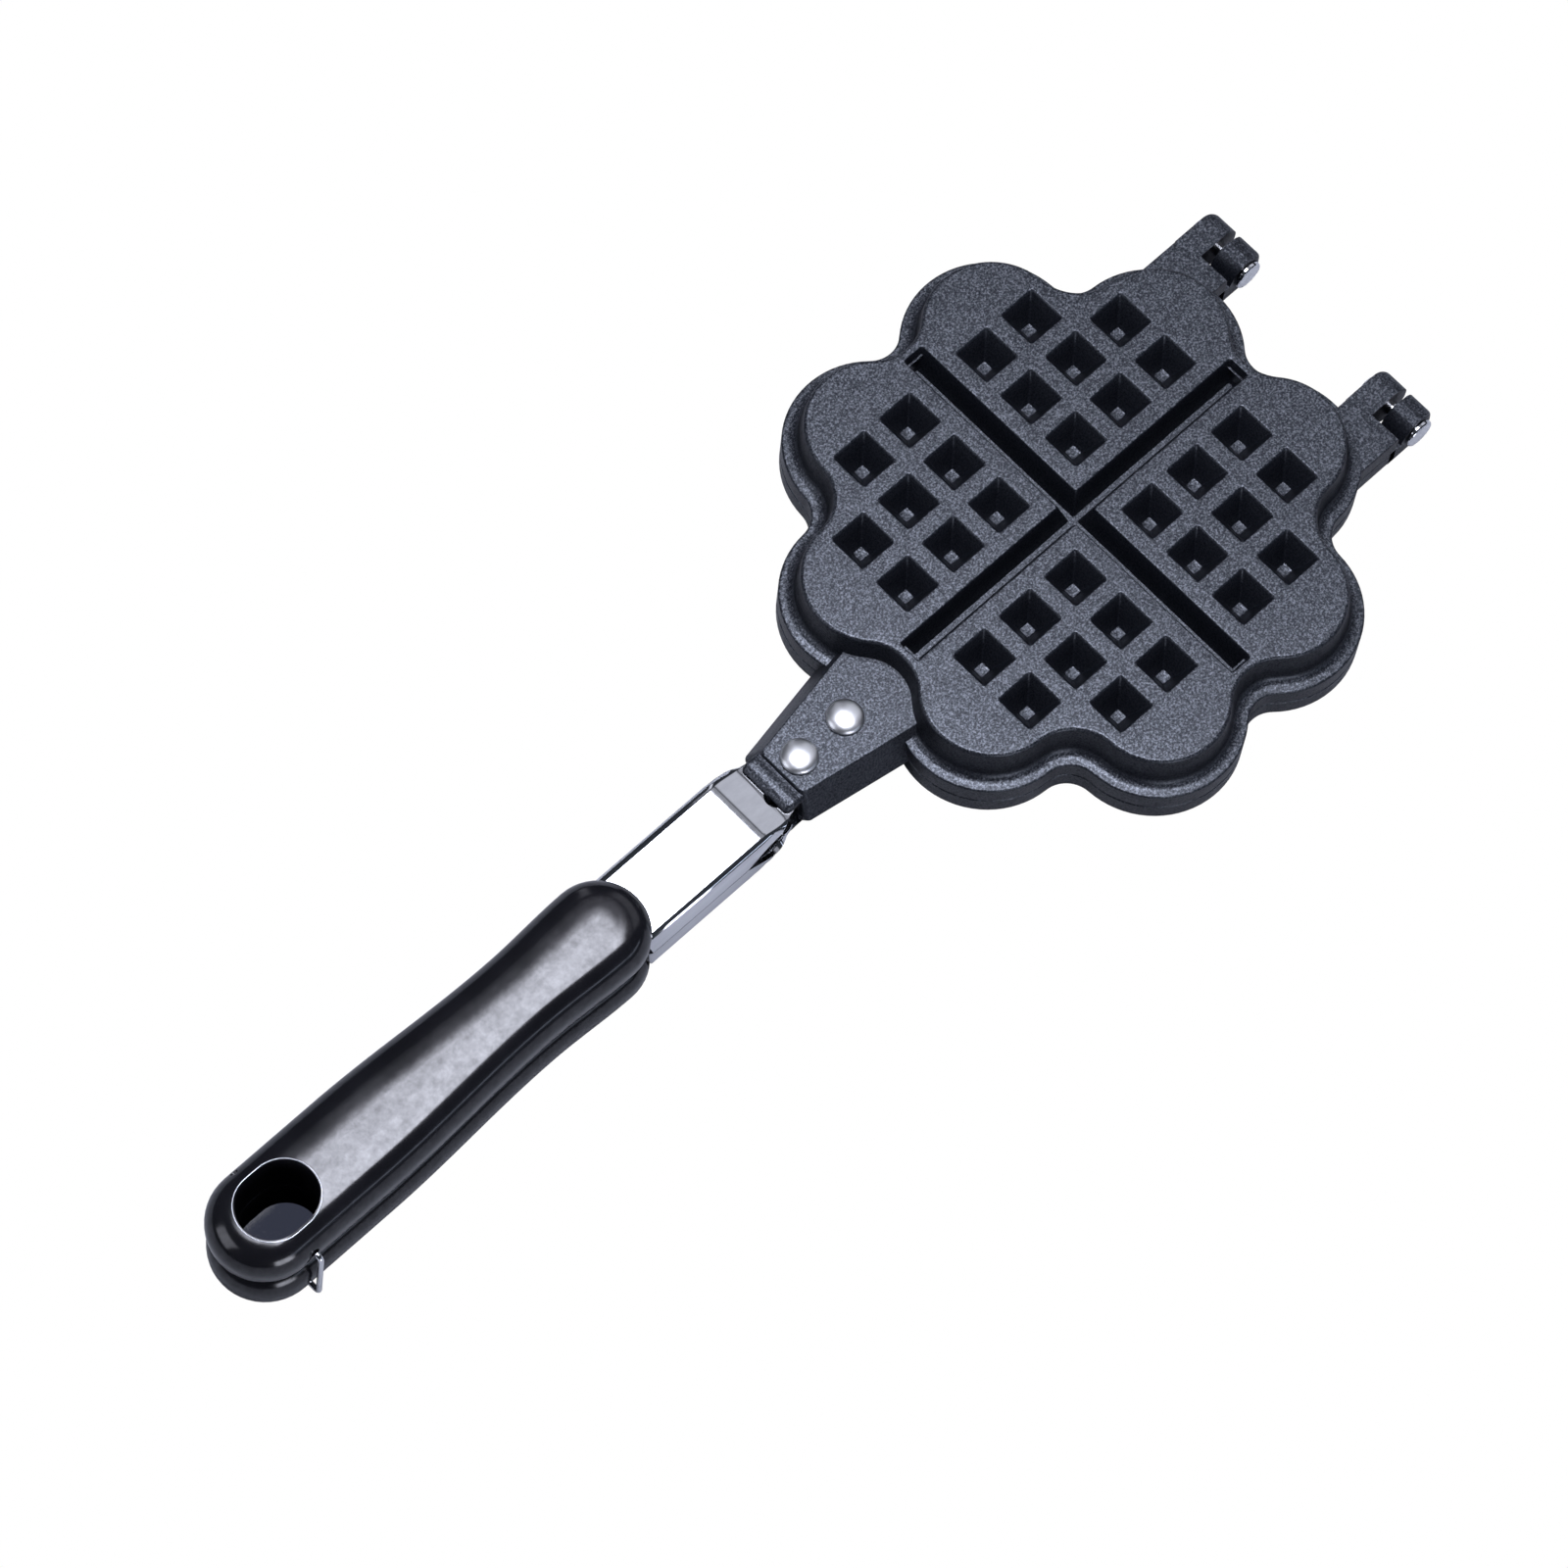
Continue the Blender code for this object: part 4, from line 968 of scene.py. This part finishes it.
def grip(half):
    sheet = Sheet()
    top_round = grip_top * 0.46
    under = grip_top * 0.4
    mate = 0.0004
    rings = []
    for a in arc(0, math.pi / 2, 8):
        rings.append(grip_outline(under * (1 - math.sin(a)), mate + under * (1 - math.cos(a))))
    crown = 0.00025
    for a in arc(math.pi / 2, 0.08, 12):
        inset = top_round * (1 - math.sin(a))
        rings.append(grip_outline(inset, grip_top - crown - top_round * (1 - math.cos(a))))
    for share in (0.12, 0.25, 0.4, 0.55, 0.7, 0.85, 0.95):
        inset = top_round + (waist_half - top_round) * share
        rings.append(grip_outline(inset, grip_top - crown * (1 - share) ** 2))
    sheet.add(rings)
    made = finish_mesh(sheet.build, half + "_half_grip", half, sharp=40, weighted=False)
    radius = tail_half * 0.657
    soft = 0.0006
    overrun = 0.001
    rings = [obround(radius - 0.0011, mate - overrun), obround(radius - soft * 1.1, grip_top - soft)]
    for a in arc(0, math.pi / 2, 4)[1:]:
        flared = radius - soft + soft * (1 - math.cos(a))
        rings.append(obround(flared, grip_top - soft + soft * math.sin(a)))
    rings.append(obround(radius, grip_top + overrun))
    hole = Sheet()
    hole.add(rings)
    shapes = [hole]
    ceiling = channel_top + tang_room
    inner = grip_start + seat_depth
    tongue_room_end = inner + tongue_long + tang_room
    channel_seat = (-inner, -grip_start + overrun, nose_half + overrun)
    tongue_slot = (-tongue_room_end, -inner + overrun, tongue_half + tang_room)
    for x0, x1, wide in (channel_seat, tongue_slot):
        corners = ((x0, -wide), (x1, -wide), (x1, wide), (x0, wide))
        block = Sheet()
        block.add([[(x, y, z) for x, y in corners] for z in (-overrun, ceiling)])
        shapes.append(block)
    spin = arc(0, 2 * math.pi, 24)[:-1]
    foot_bore = (tail_half - 0.0031, tail_half + 0.002, foot_height, foot_reach, 0.00105)
    tip_dimple = (-tail_half - 0.001, -tail_half + 0.0007, tip_height, tip_reach, 0.0013)
    for y0, y1, height, reach, r in (foot_bore, tip_dimple):
        bore = Sheet()
        circle = [(-reach + r * math.cos(a), height + r * math.sin(a)) for a in spin]
        bore.add([[(x, y, z) for x, z in circle] for y in (y0, y1)])
        shapes.append(bore)
    cutters = []
    for k, shape in enumerate(shapes):
        name = half + "_cutter_" + str(k)
        cutters.append(finish_mesh(shape.build, name, half, sharp=40, weighted=False))
    carve(made, cutters)
    made.data.materials.append(phenolic)
    made.data.shade_smooth()
    made.data.set_sharp_from_angle(angle=math.radians(35))
    even = made.modifiers.new("even_shading", "WEIGHTED_NORMAL")
    even.keep_sharp = True
    even.weight = 80
    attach(made, half + "_half")
    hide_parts(half + "_grip")

    # Painted highlight: a thin pale ring laid along the hole's rim, just under the grip's top.
    path = []
    tail_x = -(tail_reach - tail_half)
    for x, y, _ in obround(radius - 0.0001, 0):
        wide = tail_half - (math.hypot(x - tail_x, y) if x < tail_x else abs(y))
        share = min(1.0, max(0.0, (wide - top_round) / (waist_half - top_round)))
        level = grip_top - crown * (1 - share) ** 2
        if wide < top_round:
            level -= top_round - math.sqrt(top_round ** 2 - (top_round - wide) ** 2)
        path.append(turned_over((x, y, level - 0.00008), half))
    rim_highlight_radius = 0.00019
    rim = wire(half + "_rim_highlight_ring", path, rim_highlight_radius, 3, closed=True)
    rim.data.materials.append(rim_highlight)
    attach(rim, half + "_half")


for half in ("upper", "lower"):
    grip(half)


# Hinge pins. Bright steel, a low round head on the right side and a peened end on the left.
# They sit fast in the lower casting's knuckles, and the upper casting swings on them.
pin_radius = 0.0022
pin_head = 0.0042
head_gap = 0.0003
for label, side in (("left", 1), ("right", -1)):
    face = arm_half + head_gap
    profile = [(0.0032, -face - 0.0012), (0.0038, -face - 0.0011), (0.0041, -face - 0.0008),
               (pin_head, -face - 0.0004), (pin_head, -face), (pin_radius, -face), (pin_radius, face),
               (0.0032, face), (0.0031, face + 0.0003), (0.0026, face + 0.0008), (0.0019, face + 0.001)]
    sheet = Sheet()
    across = side * arm_centre
    sheet.add([[(x + hinge_reach, z + across, y) for x, y, z in ring] for ring in lathe(profile, 40)])
    pin = finish_mesh(sheet.build, "hinge_pin_" + label + "_turned", "upper", sharp=40)
    pin.data.materials.append(steel)
    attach(pin, "lower_half")
    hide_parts("hinge_pin_" + label)


# Locking clip. One piece of bright spring wire, bent square. Its foot turns in a bore of the
# lower grip, and its tip comes to a dimple in the side of the upper one, to hold the iron shut.
def wire_path(corners, radius, steps=10):
    """Straight runs between corners, with an even bend at each."""
    path = [corners[0]]
    for before, corner, after in zip(corners, corners[1:], corners[2:]):
        back = (before - corner).normalized()
        ahead = (after - corner).normalized()
        half = back.angle(ahead) / 2
        reach = radius / math.tan(half)
        centre = corner + (back + ahead).normalized() * (radius / math.sin(half))
        start = corner + back * reach - centre
        end = corner + ahead * reach - centre
        swing = start.angle(end)
        for a in arc(0, swing, steps):
            path.append(centre + (start * math.sin(swing - a) + end * math.sin(a)) / math.sin(swing))
    path.append(corners[-1])
    return path


wire_radius = 0.00075
wire_bend = 0.0015
foot_depth = 0.0028
foot_stand = 0.0022
tip_stand = 0.0020
tip_gap = 0.0004
foot_x = centre_x - foot_reach
foot_z = parting - foot_height
tip_x = centre_x - tip_reach
tip_z = parting + tip_height
corners = [Vector((foot_x, -(tail_half - foot_depth), foot_z)),
           Vector((foot_x, -(tail_half + foot_stand), foot_z)),
           Vector((tip_x, -(tail_half + tip_stand), tip_z)),
           Vector((tip_x, -(tail_half + tip_gap), tip_z))]
clip = wire("bent_wire", wire_path(corners, wire_bend), wire_radius, 6, closed=False)
clip.data.materials.append(steel)
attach(clip, "clip")
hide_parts("locking_clip")


# Grip screws. Plain steel pan heads that hold the grips to the tongues, hidden in the mating
# faces while the iron is closed. Their solids stay as they are and only get their finish.
for half in ("upper", "lower"):
    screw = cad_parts[half + "_grip_screw"]
    screw.data.materials.clear()
    screw.data.materials.append(steel)
